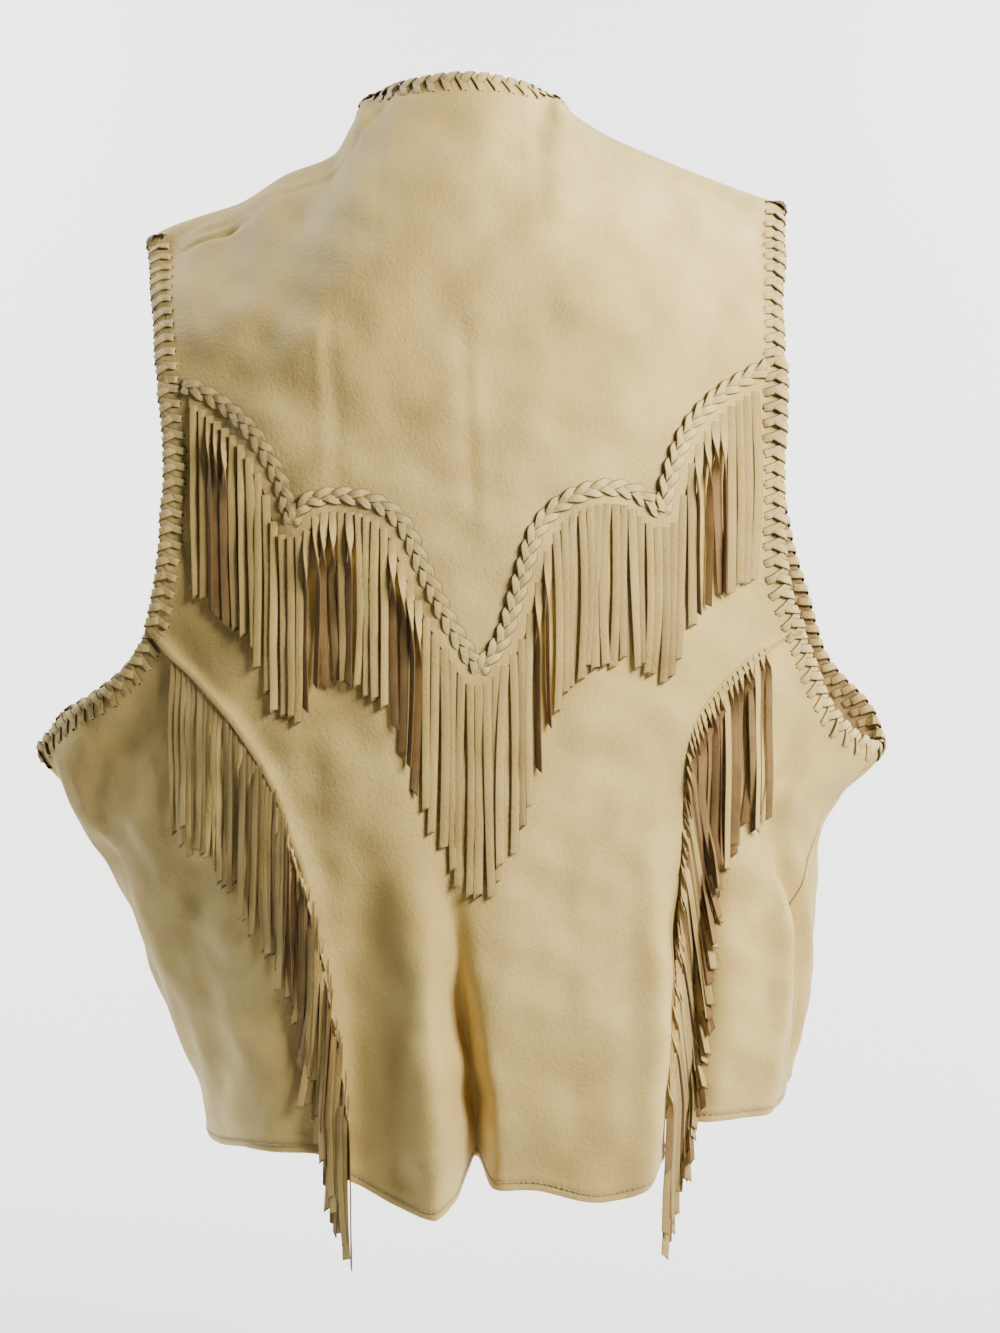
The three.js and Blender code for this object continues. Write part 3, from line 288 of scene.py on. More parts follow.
def facing(angle, z):
    """Outward direction: along crossed with up, and upright on the shoulder seams."""
    along = surface(angle + FACING_STEP, z) - surface(angle - FACING_STEP, z)
    up = surface(angle, z + FACING_RISE) - surface(angle, z - FACING_RISE)
    outward = unit(np.cross(along, up))
    x = plain_point(angle, z)[..., 0]
    standing = np.where(np.cos(angle * DEGREE) > 0, np.abs(neck_at(x)) / NECK_STAND, 0)
    keep = np.maximum(smooth((top_at(x) - z) / SEAM_FLAT), smooth(standing * 2))
    outward[..., 1] = outward[..., 1] * keep
    return unit(outward)


print("large folds:", len(FOLDS))

# %% Small creases and the unevenness of the hide
BACK_CREASES = table("x0 z0 x1 z1 width out", [
    (-192, -18, -112, 18, 22, -3.2),
    (-184, -60, -120, -10, 15, -1.6),
    (188, 8, 118, 30, 18, -2.2),
    (192, -36, 130, 6, 13, -1.4),
    (-84, -60, -79, -158, 5, -0.9),
    (-92, -64, -88, -150, 4, 0.5),
    (-2, -62, 5, -176, 6, -0.8),
    (7, -90, 12, -190, 5, 0.5),
    (52, -40, 60, -130, 9, -0.7),
    (-40, -30, -48, -110, 11, -0.8),
    (-60, 88, -86, 40, 7, -1.4),
    (52, 88, 84, 44, 7, -1.4),
    (-64, -420, -72, -560, 14, -2.6),
    (-96, -330, -84, -430, 11, -1.5),
    (58, -330, 66, -560, 12, -1.8),
    (96, -360, 88, -560, 9, 1.4),
    (-52, -300, -46, -400, 16, 1.6),
    (20, -330, 28, -480, 14, 1.5),
    (176, -300, 172, -420, 9, -1.4),
    (-190, -370, -150, -520, 17, -2.2),
    (-215, -350, -236, -400, 10, -1.4),
    (-130, -420, -112, -560, 13, 1.8),
    (-230, -316, -196, -336, 8, -1.1),
    (232, -318, 212, -350, 8, -1.6),
    (246, -334, 214, -392, 6, -1.2),
    (222, -390, 196, -420, 7, -1.0),
    (214, -420, 184, -452, 6, -0.9),
])
FRONT_CREASES = table("x0 z0 x1 z1 width out", [
    (-170, -30, -70, -120, 18, -2.0),
    (160, -20, 70, -110, 18, -2.0),
    (-210, -270, -120, -300, 14, -1.8),
    (210, -270, 120, -310, 14, -1.8),
    (-40, -260, -30, -420, 15, -1.8),
    (34, -250, 36, -400, 15, -1.6),
    (-190, -380, -160, -520, 15, -2.0),
    (190, -390, 180, -520, 13, -1.8),
])
SEAM_WRINKLES = 15
WRINKLE_DROP = (2, 26)
WRINKLE_REACH = (16, 38)
WRINKLE_BEND = (0, 5)
WRINKLE_WIDTH = (1.6, 3.0)
WRINKLE_OUT = (-1.5, -0.6)
SHOULDERS = [(-190, -84, 1), (92, 190, -1)]
WAVES = 26
WAVE_LENGTH = (26, 120)
WAVE_HEIGHT = 0.0055
CREASE_FADE = 9
hide = np.random.default_rng(11)


def wrinkles(x_low, x_high, turn):
    """Short wrinkles that follow a shoulder seam a little below it."""
    x = hide.uniform(x_low, x_high, SEAM_WRINKLES)
    down = hide.uniform(*WRINKLE_DROP, SEAM_WRINKLES)
    reach = hide.uniform(*WRINKLE_REACH, SEAM_WRINKLES) * turn
    bend = hide.uniform(*WRINKLE_BEND, SEAM_WRINKLES)
    width = hide.uniform(*WRINKLE_WIDTH, SEAM_WRINKLES)
    out = hide.uniform(*WRINKLE_OUT, SEAM_WRINKLES)
    ends = [x, top_at(x) - down, x + reach, top_at(x + reach) - down - bend, width, out]
    return np.stack(ends, -1)


def creases_out(x, z, rows):
    """Sum of creases: each is its height times a bell of the distance from its stretch of line."""
    total = np.zeros(x.shape)
    for x0, z0, x1, z1, width, out in rows:
        run = np.array([x1 - x0, z1 - z0])
        share = np.clip(((x - x0) * run[0] + (z - z0) * run[1]) / (run @ run), 0, 1)
        away = np.hypot(x - x0 - share * run[0], z - z0 - share * run[1]) / width
        total = total + out * np.exp(-away ** 2)
    return total


def crease_rows(rows):
    """The listed creases and new wrinkles on both shoulders, one row each."""
    drawn = [wrinkles(*shoulder) for shoulder in SHOULDERS]
    return np.concatenate([np.stack(list(rows.values()), -1), *drawn])


back_rows = crease_rows(BACK_CREASES)
front_rows = crease_rows(FRONT_CREASES)
wave_length = hide.uniform(*WAVE_LENGTH, WAVES)
wave_turn = hide.uniform(0, 2 * math.pi, WAVES)
wave_start = hide.uniform(0, 2 * math.pi, WAVES)


def small_out(angle, z):
    """Creases of the face that is meant, and waves whose height goes with their length."""
    x = plain_point(angle, z)[..., 0]
    behind = np.cos(angle * DEGREE) > 0
    creases = np.where(behind, creases_out(x, z, back_rows), creases_out(x, z, front_rows))
    arc = angle * half_at(z) * DEGREE
    waves = np.zeros(arc.shape)
    for length, turn, start in zip(wave_length, wave_turn, wave_start):
        way = arc * math.cos(turn) + z * math.sin(turn)
        waves = waves + WAVE_HEIGHT * length * np.sin(2 * math.pi * way / length + start)
    return (creases + waves) * smooth((top_at(x) - z) / CREASE_FADE)


def leather(angle, z):
    """The finished outer face of the leather, and its outward direction."""
    outward = facing(angle, z)
    return surface(angle, z) + outward * small_out(angle, z)[..., None], outward


print("creases on the back:", len(back_rows))

# %% [markdown]
# ## Cutting lines
#
# Each panel is cut between seams and edges. They are drawn in a chart of the angle and the
# height, as smooth curves through a few places that a cutter would mark: the armholes, the
# two curved back seams, the side seams, the scallops of the yoke and the front edges.

# %% Tables of the edges and seams
ARMHOLES = {
    ("left", "back"): table("x z", [
        (-213, 10), (-207, -19), (-201, -52), (-195, -98), (-191, -130), (-191, -175),
        (-196, -225), (-208, -261), (-227, -286), (-259, -303), (-280, -320), (-285, -333),
    ]),
    ("left", "front"): table("x z", [
        (-213, 10), (-207, -20), (-202, -60), (-200, -110), (-203, -160), (-210, -215),
        (-221, -251), (-238, -278), (-259, -296), (-279, -312), (-285, -333),
    ]),
    ("right", "back"): table("x z", [
        (211, 34), (208, 4), (205, -24), (203, -70), (202, -120), (202, -175),
        (205, -223), (220, -262), (235, -296), (248, -313), (266, -325), (278, -327),
    ]),
    ("right", "front"): table("x z", [
        (211, 34), (208, 0), (206, -40), (208, -90), (214, -140), (223, -190),
        (232, -222), (243, -262), (254, -281), (270, -300), (278, -327),
    ]),
}
PRINCESS = {
    "left": table("x z", [
        (-68, -590), (-70, -543), (-79, -484), (-89, -432), (-104, -382),
        (-122, -341), (-142, -310), (-169, -282), (-190, -265),
    ]),
    "right": table("x z", [
        (121, -574), (125, -534), (131, -468), (136, -400), (138, -350),
        (142, -318), (155, -297), (179, -272), (199, -258),
    ]),
}
PRINCESS_TOP = -252
SIDE_SEAMS = {
    "left": table("z angle", [(-590, -92), (-440, -91), (-360, -90), (-333, -90)]),
    "right": table("z angle", [
        (-555, 74), (-495, 69), (-430, 70), (-380, 77), (-345, 85), (-327, 90),
    ]),
}
FRONT_CENTER = table("z x", [(66, -4), (-330, -4), (-590, 10)])
FRONT_EDGE = table("z out", [
    (66, 68), (20, 62), (-50, 46), (-120, 30), (-180, 18), (-225, 10), (-270, 8), (-400, 8),
])
SCALLOPS = [
    table("x z", [(-189, -96), (-174, -98), (-156, -108), (-133, -128), (-118, -153), (-107, -185)]),
    table("x z", [
        (-107, -185), (-98, -173), (-78, -169), (-54, -174),
        (-38, -187), (-24, -218), (-6, -254), (9, -277),
    ]),
    table("x z", [
        (9, -277), (23, -258), (34, -223), (45, -190),
        (61, -173), (84, -164), (106, -166), (123, -178),
    ]),
    table("x z", [(123, -178), (127, -156), (139, -127), (158, -105), (180, -90), (202, -78)]),
]


# %% Smooth curves
DOTS_EACH = 60
LOOK_AHEAD = 0.004


def run_along(points):
    """Length of a line up to each of its points."""
    return np.concatenate([[0], np.cumsum(np.linalg.norm(np.diff(points, axis=0), axis=-1))])


class Curve:
    """A smooth curve through places, drawn as many short steps.

    Between each two places it is a cubic, with slopes from the places on either side, weighed
    by the square roots of their distances.
    """

    def __init__(self, places):
        places = np.asarray(places, float)
        ends = [2 * places[:1] - places[1:2], places, 2 * places[-1:] - places[-2:-1]]
        held = np.concatenate(ends)
        steps = np.diff(held, axis=0)
        gaps = np.sqrt(np.linalg.norm(steps, axis=-1))[:, None]
        g0, g1, g2 = gaps[:-2], gaps[1:-1], gaps[2:]
        s0, s1, s2 = steps[:-2], steps[1:-1], steps[2:]
        first = (s0 / g0 - (s0 + s1) / (g0 + g1) + s1 / g1) * g1
        second = (s1 / g1 - (s1 + s2) / (g1 + g2) + s2 / g2) * g1
        t = np.linspace(0, 1, DOTS_EACH, endpoint=False)[None, :, None]
        start, end = held[1:-2, None], held[2:-1, None]
        dots = (
            start * (2 * t ** 3 - 3 * t ** 2 + 1)
            + first[:, None] * (t ** 3 - 2 * t ** 2 + t)
            + end * (3 * t ** 2 - 2 * t ** 3)
            + second[:, None] * (t ** 3 - t ** 2)
        )
        self.dots = np.concatenate([dots.reshape(-1, places.shape[1]), places[-1:]])
        self.run = run_along(self.dots)
        self.length = self.run[-1]

    def at(self, share):
        """Places at shares of the length."""
        reach = np.clip(share, 0, 1) * self.length
        return np.stack([np.interp(reach, self.run, column) for column in self.dots.T], -1)

    def along(self, share):
        """Directions at shares of the length."""
        share = np.asarray(share)
        return unit(self.at(share + LOOK_AHEAD) - self.at(share - LOOK_AHEAD))

    def share_where(self, column, value):
        """The share at which a falling column reaches a value."""
        return float(np.interp(-value, -self.dots[:, column], self.run)) / self.length


class ChartCurve(Curve):
    """A curve in the chart of angle and height. Angles are stretched so that both count alike."""

    def __init__(self, places):
        super().__init__(np.asarray(places, float) * [CHART_SCALE, 1])

    def at(self, share):
        return super().at(share) / [CHART_SCALE, 1]


def chart(rows, face):
    """Chart places of a table of x and z."""
    return np.stack([angle_of(rows["x"], rows["z"], face), rows["z"]], -1)


def hem_height(angle):
    x = middle_at(HEM_LEVEL) + half_at(HEM_LEVEL) * np.sin(angle * DEGREE)
    return np.where(np.cos(angle * DEGREE) > 0, back_hem_at(x), front_hem_at(x))


def hem_place(angle):
    return np.stack([angle, hem_height(angle)], -1)


# %% The seams in the chart
SCALLOP_STEPS = [8, 10, 10, 8]
armholes = {key: ChartCurve(chart(rows, key[1])) for key, rows in ARMHOLES.items()}
princess = {}
side_seams = {}
front_edges = {}
front_center_at = reading(FRONT_CENTER, "z", "x")
front_edge_at = reading(FRONT_EDGE, "z", "out")
FRONT_HEIGHTS = np.array([-540, -470, -400, -330, -270, -225, -180, -120, -50, 20, 66])


def front_edge(sign, corner_x):
    """A front edge from the hem to the neck corner, at its distance from the centre front."""
    heights = np.concatenate([[HEM_LEVEL], FRONT_HEIGHTS])
    x = front_center_at(heights) + sign * front_edge_at(heights)
    angles = sign * 180 - np.arcsin((x - middle_at(heights)) / half_at(heights)) / DEGREE
    places = np.stack([angles, heights], -1)
    corner_z = top_at(corner_x)
    corner = [[angle_of(corner_x, corner_z, "front"), corner_z]]
    return ChartCurve(np.concatenate([[hem_place(angles[0])], places[1:], corner]))


for side in ("left", "right"):
    armhole = armholes[side, "back"]
    joint = armhole.at(armhole.share_where(1, PRINCESS_TOP))
    rows = chart(PRINCESS[side], "back")
    princess[side] = ChartCurve(np.concatenate([[hem_place(rows[0, 0])], rows[1:], [joint]]))
    seam = np.stack([SIDE_SEAMS[side]["angle"], SIDE_SEAMS[side]["z"]], -1)
    side_seams[side] = ChartCurve(np.concatenate([[hem_place(seam[0, 0])], seam[1:]]))
front_edges["left"] = front_edge(-1, NECK_LEFT)
front_edges["right"] = front_edge(1, NECK_RIGHT)
scallops = [ChartCurve(chart(rows, "back")) for rows in SCALLOPS]
print("scallops on the yoke:", len(scallops))


# %% [markdown]
# ## Panels
#
# A panel is a sheet between four cutting lines. The places inside are blended from the four
# edges (a Coons patch), then put on the form. The wall of the leather is a second sheet set
# inwards. Columns crowd near the edges, where the leather rolls over at a seam or is turned
# for the hem.

# %% Blending a panel
TOP_DOTS = 400
HEM_DOTS = 900
EDGE_ROWS = np.array([0.35, 0.8, 1.5, 2.6, 4.2])
LEAST_GAP = 0.25


def chain(curves, counts, shares):
    """Runs along several curves, each taking its count's part of the shares."""
    bounds = np.cumsum([0, *counts]) / sum(counts)
    places = np.zeros((len(shares), 2))
    for k, curve in enumerate(curves):
        within = (shares >= bounds[k]) & (shares <= bounds[k + 1])
        places[within] = curve((shares[within] - bounds[k]) / (bounds[k + 1] - bounds[k]))
    return places


def part_of(curve, start, end):
    """The stretch of a curve between two shares, in that direction."""
    return lambda share: curve.at(start + (end - start) * share)


def top_line(x_from, x_to, face):
    """The shoulder and neck line between two x places, spaced by its true length."""
    x = np.linspace(x_from, x_to, TOP_DOTS)
    depth = neck_at(x) if face == "back" else np.zeros(x.shape)
    run = run_along(np.stack([x, depth, top_at(x)], -1))

    def places(share):
        here = np.interp(share * run[-1], run, x)
        return np.stack([angle_of(here, top_at(here), face), top_at(here)], -1)

    return places


def hem_line(start, end):
    """The hem between two angles, spaced by the length of the folded leather."""
    angles = np.linspace(start, end, HEM_DOTS)
    run = run_along(surface(angles, hem_height(angles)))
    return lambda share: hem_place(np.interp(share * run[-1], run, angles))


def spaced(count, size, joints=()):
    """Shares from 0 to 1 of a size in mm: even, with more near both ends and at joints."""
    near = EDGE_ROWS / size
    shares = np.concatenate([np.linspace(0, 1, count), near, 1 - near, joints])
    shares = np.unique(np.round(shares, 7))
    return shares[np.concatenate([[True], np.diff(shares) > LEAST_GAP / size])]


def blend(bottom, top, left, right, u, v):
    """Coons patch: edges across plus edges along, less the blend of the four corners."""
    across, along = u[None, :, None], v[:, None, None]
    upright = bottom[None] * (1 - along) + top[None] * along
    level = left[:, None] * (1 - across) + right[:, None] * across
    low = bottom[0] * (1 - across) + bottom[-1] * across
    high = top[0] * (1 - across) + top[-1] * across
    return upright + level - (low * (1 - along) + high * along)


# %% Building meshes
SHARP_ANGLE = 50
made = {}


def make_piece(name, vertices, faces, **marks):
    """A mesh from arrays in millimetres. Each mark is one number for every vertex."""
    mesh = bpy.data.meshes.new(name)
    mesh.from_pydata(vertices * MM, [], faces)
    for key, values in marks.items():
        layer = mesh.attributes.new(key, "FLOAT", "POINT")
        layer.data.foreach_set("value", np.ascontiguousarray(values, np.float32))
    mesh.shade_smooth()
    mesh.set_sharp_from_angle(angle=SHARP_ANGLE * DEGREE)
    piece = bpy.data.objects.new(name, mesh)
    bpy.context.scene.collection.objects.link(piece)
    made[name] = piece


def wall_piece(name, outer, inner, **marks):
    """A closed wall between two grids of places, with four rims."""
    rows, columns = outer.shape[:2]
    front = np.arange(rows * columns).reshape(rows, columns)
    back = front + rows * columns

    def quads(grid):
        around = [grid[:-1, :-1], grid[:-1, 1:], grid[1:, 1:], grid[1:, :-1]]
        return np.stack(around, -1).reshape(-1, 4)

    def rim(outside, inside):
        return np.stack([inside[:-1], inside[1:], outside[1:], outside[:-1]], -1)

    faces = np.concatenate([
        quads(front),
        quads(back)[:, ::-1],
        rim(front[0], back[0]),
        rim(front[-1, ::-1], back[-1, ::-1]),
        rim(front[::-1, 0], back[::-1, 0]),
        rim(front[:, -1], back[:, -1]),
    ])
    vertices = np.concatenate([outer.reshape(-1, 3), inner.reshape(-1, 3)])
    make_piece(name, vertices, faces.tolist(), **marks)


def distances(points, axis):
    """True distance of each grid place from the first and from the last one along an axis."""
    steps = np.linalg.norm(np.diff(points, axis=axis), axis=-1)
    start = np.zeros_like(np.take(points[..., 0], [0], axis=axis))
    run = np.concatenate([start, np.cumsum(steps, axis=axis)], axis=axis)
    return run, np.take(run, [-1], axis=axis) - run


SEAM_ROLL = 0.9
SEAM_ROLL_WIDTH = 1.3
LAP_WIDTH = 9
LAP_LINE = 0.7
HEM_TURNED = 8
HEM_TURN_SOFT = 2.5
HEM_ROUND = 1.4
HEM_RISE = 0.55
STITCH_DEPTH = 0.5
STITCH_WIDTH = 1.1


def panel(name, u, v, edges, hem=False, seams=(), laps=()):
    """A leather panel. Seams name the edges that roll in, laps the ones that lie on top."""
    places = blend(edges["bottom"], edges["top"], edges["left"], edges["right"], u, v)
    outer, outward = leather(places[..., 0], places[..., 1])
    away = dict(zip(("left", "right"), distances(outer, 1)))
    away.update(zip(("bottom", "top"), distances(outer, 0)))
    shift = np.zeros(outer.shape[:2])
    dark = np.zeros(outer.shape[:2])
    # Painted shade in the groove where a seam's edge rolls in.
    for edge in seams:
        rolled = np.exp(-(away[edge] / SEAM_ROLL_WIDTH) ** 2)
        shift = shift - SEAM_ROLL * rolled
        dark = np.maximum(dark, rolled)
    # A lapping edge lifts, and its raw edge gets a dark line with painted shade where it meets the
    # panel below.
    for edge, height in laps:
        shift = shift + height * np.exp(-(away[edge] / LAP_WIDTH) ** 2)
        dark = np.maximum(dark, np.exp(-(away[edge] / LAP_LINE) ** 2))
    wall = np.full(outer.shape[:2], LEATHER)
    if hem:
        low = away["bottom"]
        turned = 1 - smooth((low - HEM_TURNED) / HEM_TURN_SOFT)
        stitched = np.exp(-((low - HEM_STITCH) / STITCH_WIDTH) ** 2)
        under = np.clip(HEM_ROUND - low, 0, HEM_ROUND)
        wall = wall + (HEM_WALL - LEATHER) * turned
        shift = shift + HEM_RISE * turned - STITCH_DEPTH * stitched
        shift = shift - (HEM_ROUND - np.sqrt(HEM_ROUND ** 2 - under ** 2))
        # Painted shade along the groove of the hem stitches.
        dark = np.maximum(dark, 0.5 * stitched)
    outer = outer + outward * shift[..., None]
    inner = outer - outward * wall[..., None]
    flesh = np.repeat([0.0, 1.0], dark.size)
    cut = np.concatenate([dark.ravel(), np.zeros(dark.size)])
    wall_piece(name, outer, inner, flesh=flesh, cut=cut)
    print(name, len(v), "rows", len(u), "columns")
    return {"outer": outer, "outward": outward}


# %% The yoke and the centre back
armhole_left = armholes["left", "back"]
armhole_right = armholes["right", "back"]
SHOULDER_STEPS = [8, 20, 8]
yoke_share = {
    "left": armhole_left.share_where(1, SCALLOPS[0]["z"][0]),
    "right": armhole_right.share_where(1, SCALLOPS[3]["z"][-1]),
}
princess_share = {
    side: armholes[side, "back"].share_where(1, PRINCESS_TOP) for side in ("left", "right")
}
scallop_joints = np.cumsum(SCALLOP_STEPS)[:-1] / sum(SCALLOP_STEPS)
scallop_runs = [curve.at for curve in scallops]
yoke_u = spaced(170, 420, scallop_joints)
yoke_v = spaced(100, 250)
seam_places = chain(scallop_runs, SCALLOP_STEPS, yoke_u)
seam_places[0] = armhole_left.at(yoke_share["left"])
seam_places[-1] = armhole_right.at(yoke_share["right"])
shoulder_lines = [
    top_line(TOP_LINE["x"][0], NECK_LEFT, "back"),
    top_line(NECK_LEFT, NECK_RIGHT, "back"),
    top_line(NECK_RIGHT, TOP_LINE["x"][-1], "back"),
]
yoke = panel("back_yoke_leather", yoke_u, yoke_v, {
    "bottom": seam_places,
    "top": chain(shoulder_lines, SHOULDER_STEPS, yoke_u),
    "left": part_of(armhole_left, yoke_share["left"], 0)(yoke_v),
    "right": part_of(armhole_right, yoke_share["right"], 0)(yoke_v),
}, seams=["bottom", "top"])

LAP = 4.5
LAP_RISE = 3.7
LEAST_SLOPE = 0.3
CENTER_STEPS = [9, 4]
CENTER_SPLIT = CENTER_STEPS[0] / sum(CENTER_STEPS)
LAP_END = 0.06


def lapped(places, side):
    """A princess edge moved out over the side panel by the lap."""
    sign = -1 if side == "left" else 1
    slope = np.maximum(np.cos(places[:, 0] * DEGREE), LEAST_SLOPE)
    moved = places.copy()
    moved[:, 0] = moved[:, 0] + sign * LAP / (half_at(places[:, 1]) * DEGREE * slope)
    return moved


def center_edge(side, v):
    """The centre back's edge: up the curved seam, then up the armhole."""
    armhole = armholes[side, "back"]
    upper = part_of(armhole, princess_share[side], yoke_share[side])
    places = chain([princess[side].at, upper], CENTER_STEPS, v)
    hidden = smooth((CENTER_SPLIT - v) / LAP_END)[:, None]
    return places + (lapped(places, side) - places) * hidden


center_u = spaced(200, 400, scallop_joints)
center_v = spaced(150, 430, [CENTER_SPLIT])
center_edges = {side: center_edge(side, center_v) for side in ("left", "right")}
center = panel("back_center_leather", center_u, center_v, {
    "bottom": hem_line(center_edges["left"][0, 0], center_edges["right"][0, 0])(center_u),
    "top": np.concatenate([
        [armhole_left.at(yoke_share["left"])],
        chain(scallop_runs, SCALLOP_STEPS, center_u)[1:-1],
        [armhole_right.at(yoke_share["right"])],
    ]),
    "left": center_edges["left"],
    "right": center_edges["right"],
}, hem=True, seams=["top"], laps=[("left", LAP_RISE), ("right", LAP_RISE)])

# %% The side panels and the fronts
FRONT_STEPS = [9, 14]
FRONT_SPLIT = FRONT_STEPS[0] / sum(FRONT_STEPS)
FRONT_LEVEL = -330
SHOULDER_ENDS = {"left": [NECK_LEFT, TOP_LINE["x"][0]], "right": [NECK_RIGHT, TOP_LINE["x"][-1]]}
side_u = spaced(60, 130)
side_v = spaced(110, 310)
front_u = spaced(90, 200)
front_v = spaced(190, 680, [FRONT_SPLIT])


def in_order(side, pair):
    """A pair listed for the left, in the order that goes left to right seen from outside."""
    return pair if side == "left" else pair[::-1]


def side_panel(side):
    """The panel between the side seam and the curved back seam."""
    first, second = in_order(side, [side_seams[side], princess[side]])
    upper = in_order(side, [1, princess_share[side]])
    return panel(f"side_back_{side}_leather", side_u, side_v, {
        "bottom": hem_line(first.at(0)[0], second.at(0)[0])(side_u),
        "top": part_of(armholes[side, "back"], *upper)(side_u),
        "left": first.at(side_v),
        "right": second.at(side_v),
    }, hem=True, seams=[side])


def front_panel(side):
    """The panel between the front edge and the side. Both parts change at the armhole."""
    edge = front_edges[side]
    split = 1 - ChartCurve(edge.at(np.linspace(1, 0, DOTS_EACH))).share_where(1, FRONT_LEVEL)
    open_edge = [part_of(edge, 0, split), part_of(edge, split, 1)]
    outer_edge = [side_seams[side].at, part_of(armholes[side, "front"], 1, 0)]
    first, second = in_order(side, [
        chain(open_edge, FRONT_STEPS, front_v),
        chain(outer_edge, FRONT_STEPS, front_v),
    ])
    return panel(f"front_{side}_leather", front_u, front_v, {
        "bottom": hem_line(first[0, 0], second[0, 0])(front_u),
        "top": top_line(*in_order(side, SHOULDER_ENDS[side]), "front")(front_u),
        "left": first,
        "right": second,
    }, hem=True, seams=["top"])


side_panels = {side: side_panel(side) for side in ("left", "right")}
fronts = {side: front_panel(side) for side in ("left", "right")}

# %% [markdown]
# ## Lace
#
# A lace is a flat strip with a domed face. It is a small profile carried along many paths at
# once: all stitches of an edge are one array. A mark along its two sides lets the material
# draw a thin dark line there, partly the darker raw edge and partly painted shade between
# neighbouring laces. A mark on its back shows the brown flesh side.

# %% A strip carried along many paths
# The third column marks the sides darker: partly the raw edge of the lace, partly painted shade
# between neighbouring laces. The fourth marks the flesh side.
LACE_PROFILE = table("across up cut flesh", [
    (-0.5, 0.3, 1, 0),
    (-0.44, 0.85, 1, 0),
    (-0.36, 1.0, 0, 0),
    (0.36, 1.0, 0, 0),
    (0.44, 0.85, 1, 0),
    (0.5, 0.3, 1, 0),
    (0.42, 0.0, 1, 1),
    (-0.42, 0.0, 1, 1),
])
# The third column marks the sides and the lower corners darker: partly the raw edge of the strand,
# partly painted shade between neighbouring strands.
STRAND_PROFILE = table("across up cut flesh", [
    (-0.5, 0.85, 1, 0),
    (-0.42, 1.0, 0.15, 0),
    (0.42, 1.0, 0.15, 0),
    (0.5, 0.85, 1, 0),
    (0.5, 0.12, 1, 1),
    (0.41, 0.0, 0.3, 1),
    (-0.41, 0.0, 0.3, 1),
    (-0.5, 0.12, 1, 1),
])


def strips(name, paths, normals, width, wall, profile, turn=0.0, slant=0.0):
    """Closed strips along paths of shape strips by stations by 3.

    A profile point is its across share of the width to the side, and its up share of the wall
    along the normal, after both have turned about the path. Slant moves the last station along
    the path, so the end is slanted. The sides and the end are marked darker: partly the raw
    edge, partly painted shade between strips.
    """
    count, stations = paths.shape[:2]
    along = unit(np.gradient(paths, axis=1))
    side = unit(np.cross(along, normals))
    up = unit(np.cross(side, along))
    turn = np.broadcast_to(np.asarray(turn, float), (count, stations))[..., None]
    across_way = side * np.cos(turn) + up * np.sin(turn)
    up_way = up * np.cos(turn) - side * np.sin(turn)
    wide = np.broadcast_to(np.asarray(width, float), (count, stations))[..., None]
    thick = np.broadcast_to(np.asarray(wall, float), (count, stations))[..., None]
    across = wide * profile["across"]
    rise = thick * profile["up"]
    vertices = (
        paths[:, :, None]
        + across_way[:, :, None] * across[..., None]
        + up_way[:, :, None] * rise[..., None]
    )
    cut_off = np.broadcast_to(np.asarray(slant, float), (count,))[:, None, None]
    vertices[:, -1] += along[:, -1][:, None] * (cut_off * profile["across"][None, :, None])
    size = len(profile["across"])
    index = np.arange(count * stations * size).reshape(count, stations, size)
    after = np.roll(index, -1, axis=2)
    around = [index[:, :-1], after[:, :-1], after[:, 1:], index[:, 1:]]
    faces = np.stack(around, -1).reshape(-1, 4)
    caps = np.concatenate([index[:, 0, ::-1], index[:, -1]])
    flat = vertices.reshape(-1, 3)
    a, b, c = flat[faces[:, 0]], flat[faces[:, 1]], flat[faces[:, 2]]
    middle = flat[faces].mean(1)
    centre = np.repeat(paths[:, :-1].reshape(-1, 3) + 0.5 * thick[:, :-1].reshape(-1, 1)
                       * up_way[:, :-1].reshape(-1, 3), size, axis=0)
    outwards = np.einsum("ij,ij->i", np.cross(b - a, c - a), middle - centre)
    listed = faces.tolist() + caps.tolist()
    if np.median(outwards) < 0:
        listed = [face[::-1] for face in listed]
    # The sides and the end of each strip are marked darker: partly the raw edge, partly painted
    # shade.
    cut = np.broadcast_to(profile["cut"], (count, stations, size)).copy()
    cut[:, -1] = 1
    flesh = np.broadcast_to(profile["flesh"], (count, stations, size))
    tone = np.repeat(np.random.default_rng(count).uniform(0, 1, count), stations * size)
    make_piece(name, flat, listed, cut=cut.ravel(), flesh=flesh.ravel(), tone=tone)
    print(name, count, "strips", len(listed), "faces")


# %% [markdown]
# ## Laced edges
#
# Armholes, neck and front edges are sewn over and over with lace. Each stitch comes out of a
# punched hole, crosses the leather at a slant, wraps the edge and goes in on the other side.
# A second pass locks every stitch on the edge itself, and makes the row of small overlapping
# beads. Places are found on the leather by the nearest point of the panels.

# %% Seating points on the leather
LEAST_STEP = 0.05
EVEN_POINTS = 2
EVEN_OUTWARD = 7
EVEN_INWARD = 5
panels = [yoke, center, *side_panels.values(), *fronts.values()]
all_places = np.concatenate([each["outer"].reshape(-1, 3) for each in panels])
all_outward = np.concatenate([each["outward"].reshape(-1, 3) for each in panels])


def seat(points, chunk=1500):
    """Moves points onto the tangent plane of the nearest place of the leather."""
    flat = points.reshape(-1, 3)
    squares = (all_places ** 2).sum(1)
    closest = np.concatenate([
        np.argmin(squares - 2 * flat[k:k + chunk] @ all_places.T, axis=1)
        for k in range(0, len(flat), chunk)
    ])
    outward = all_outward[closest]
    off = np.einsum("ij,ij->i", flat - all_places[closest], outward)
    return (flat - outward * off[:, None]).reshape(points.shape), outward.reshape(points.shape)


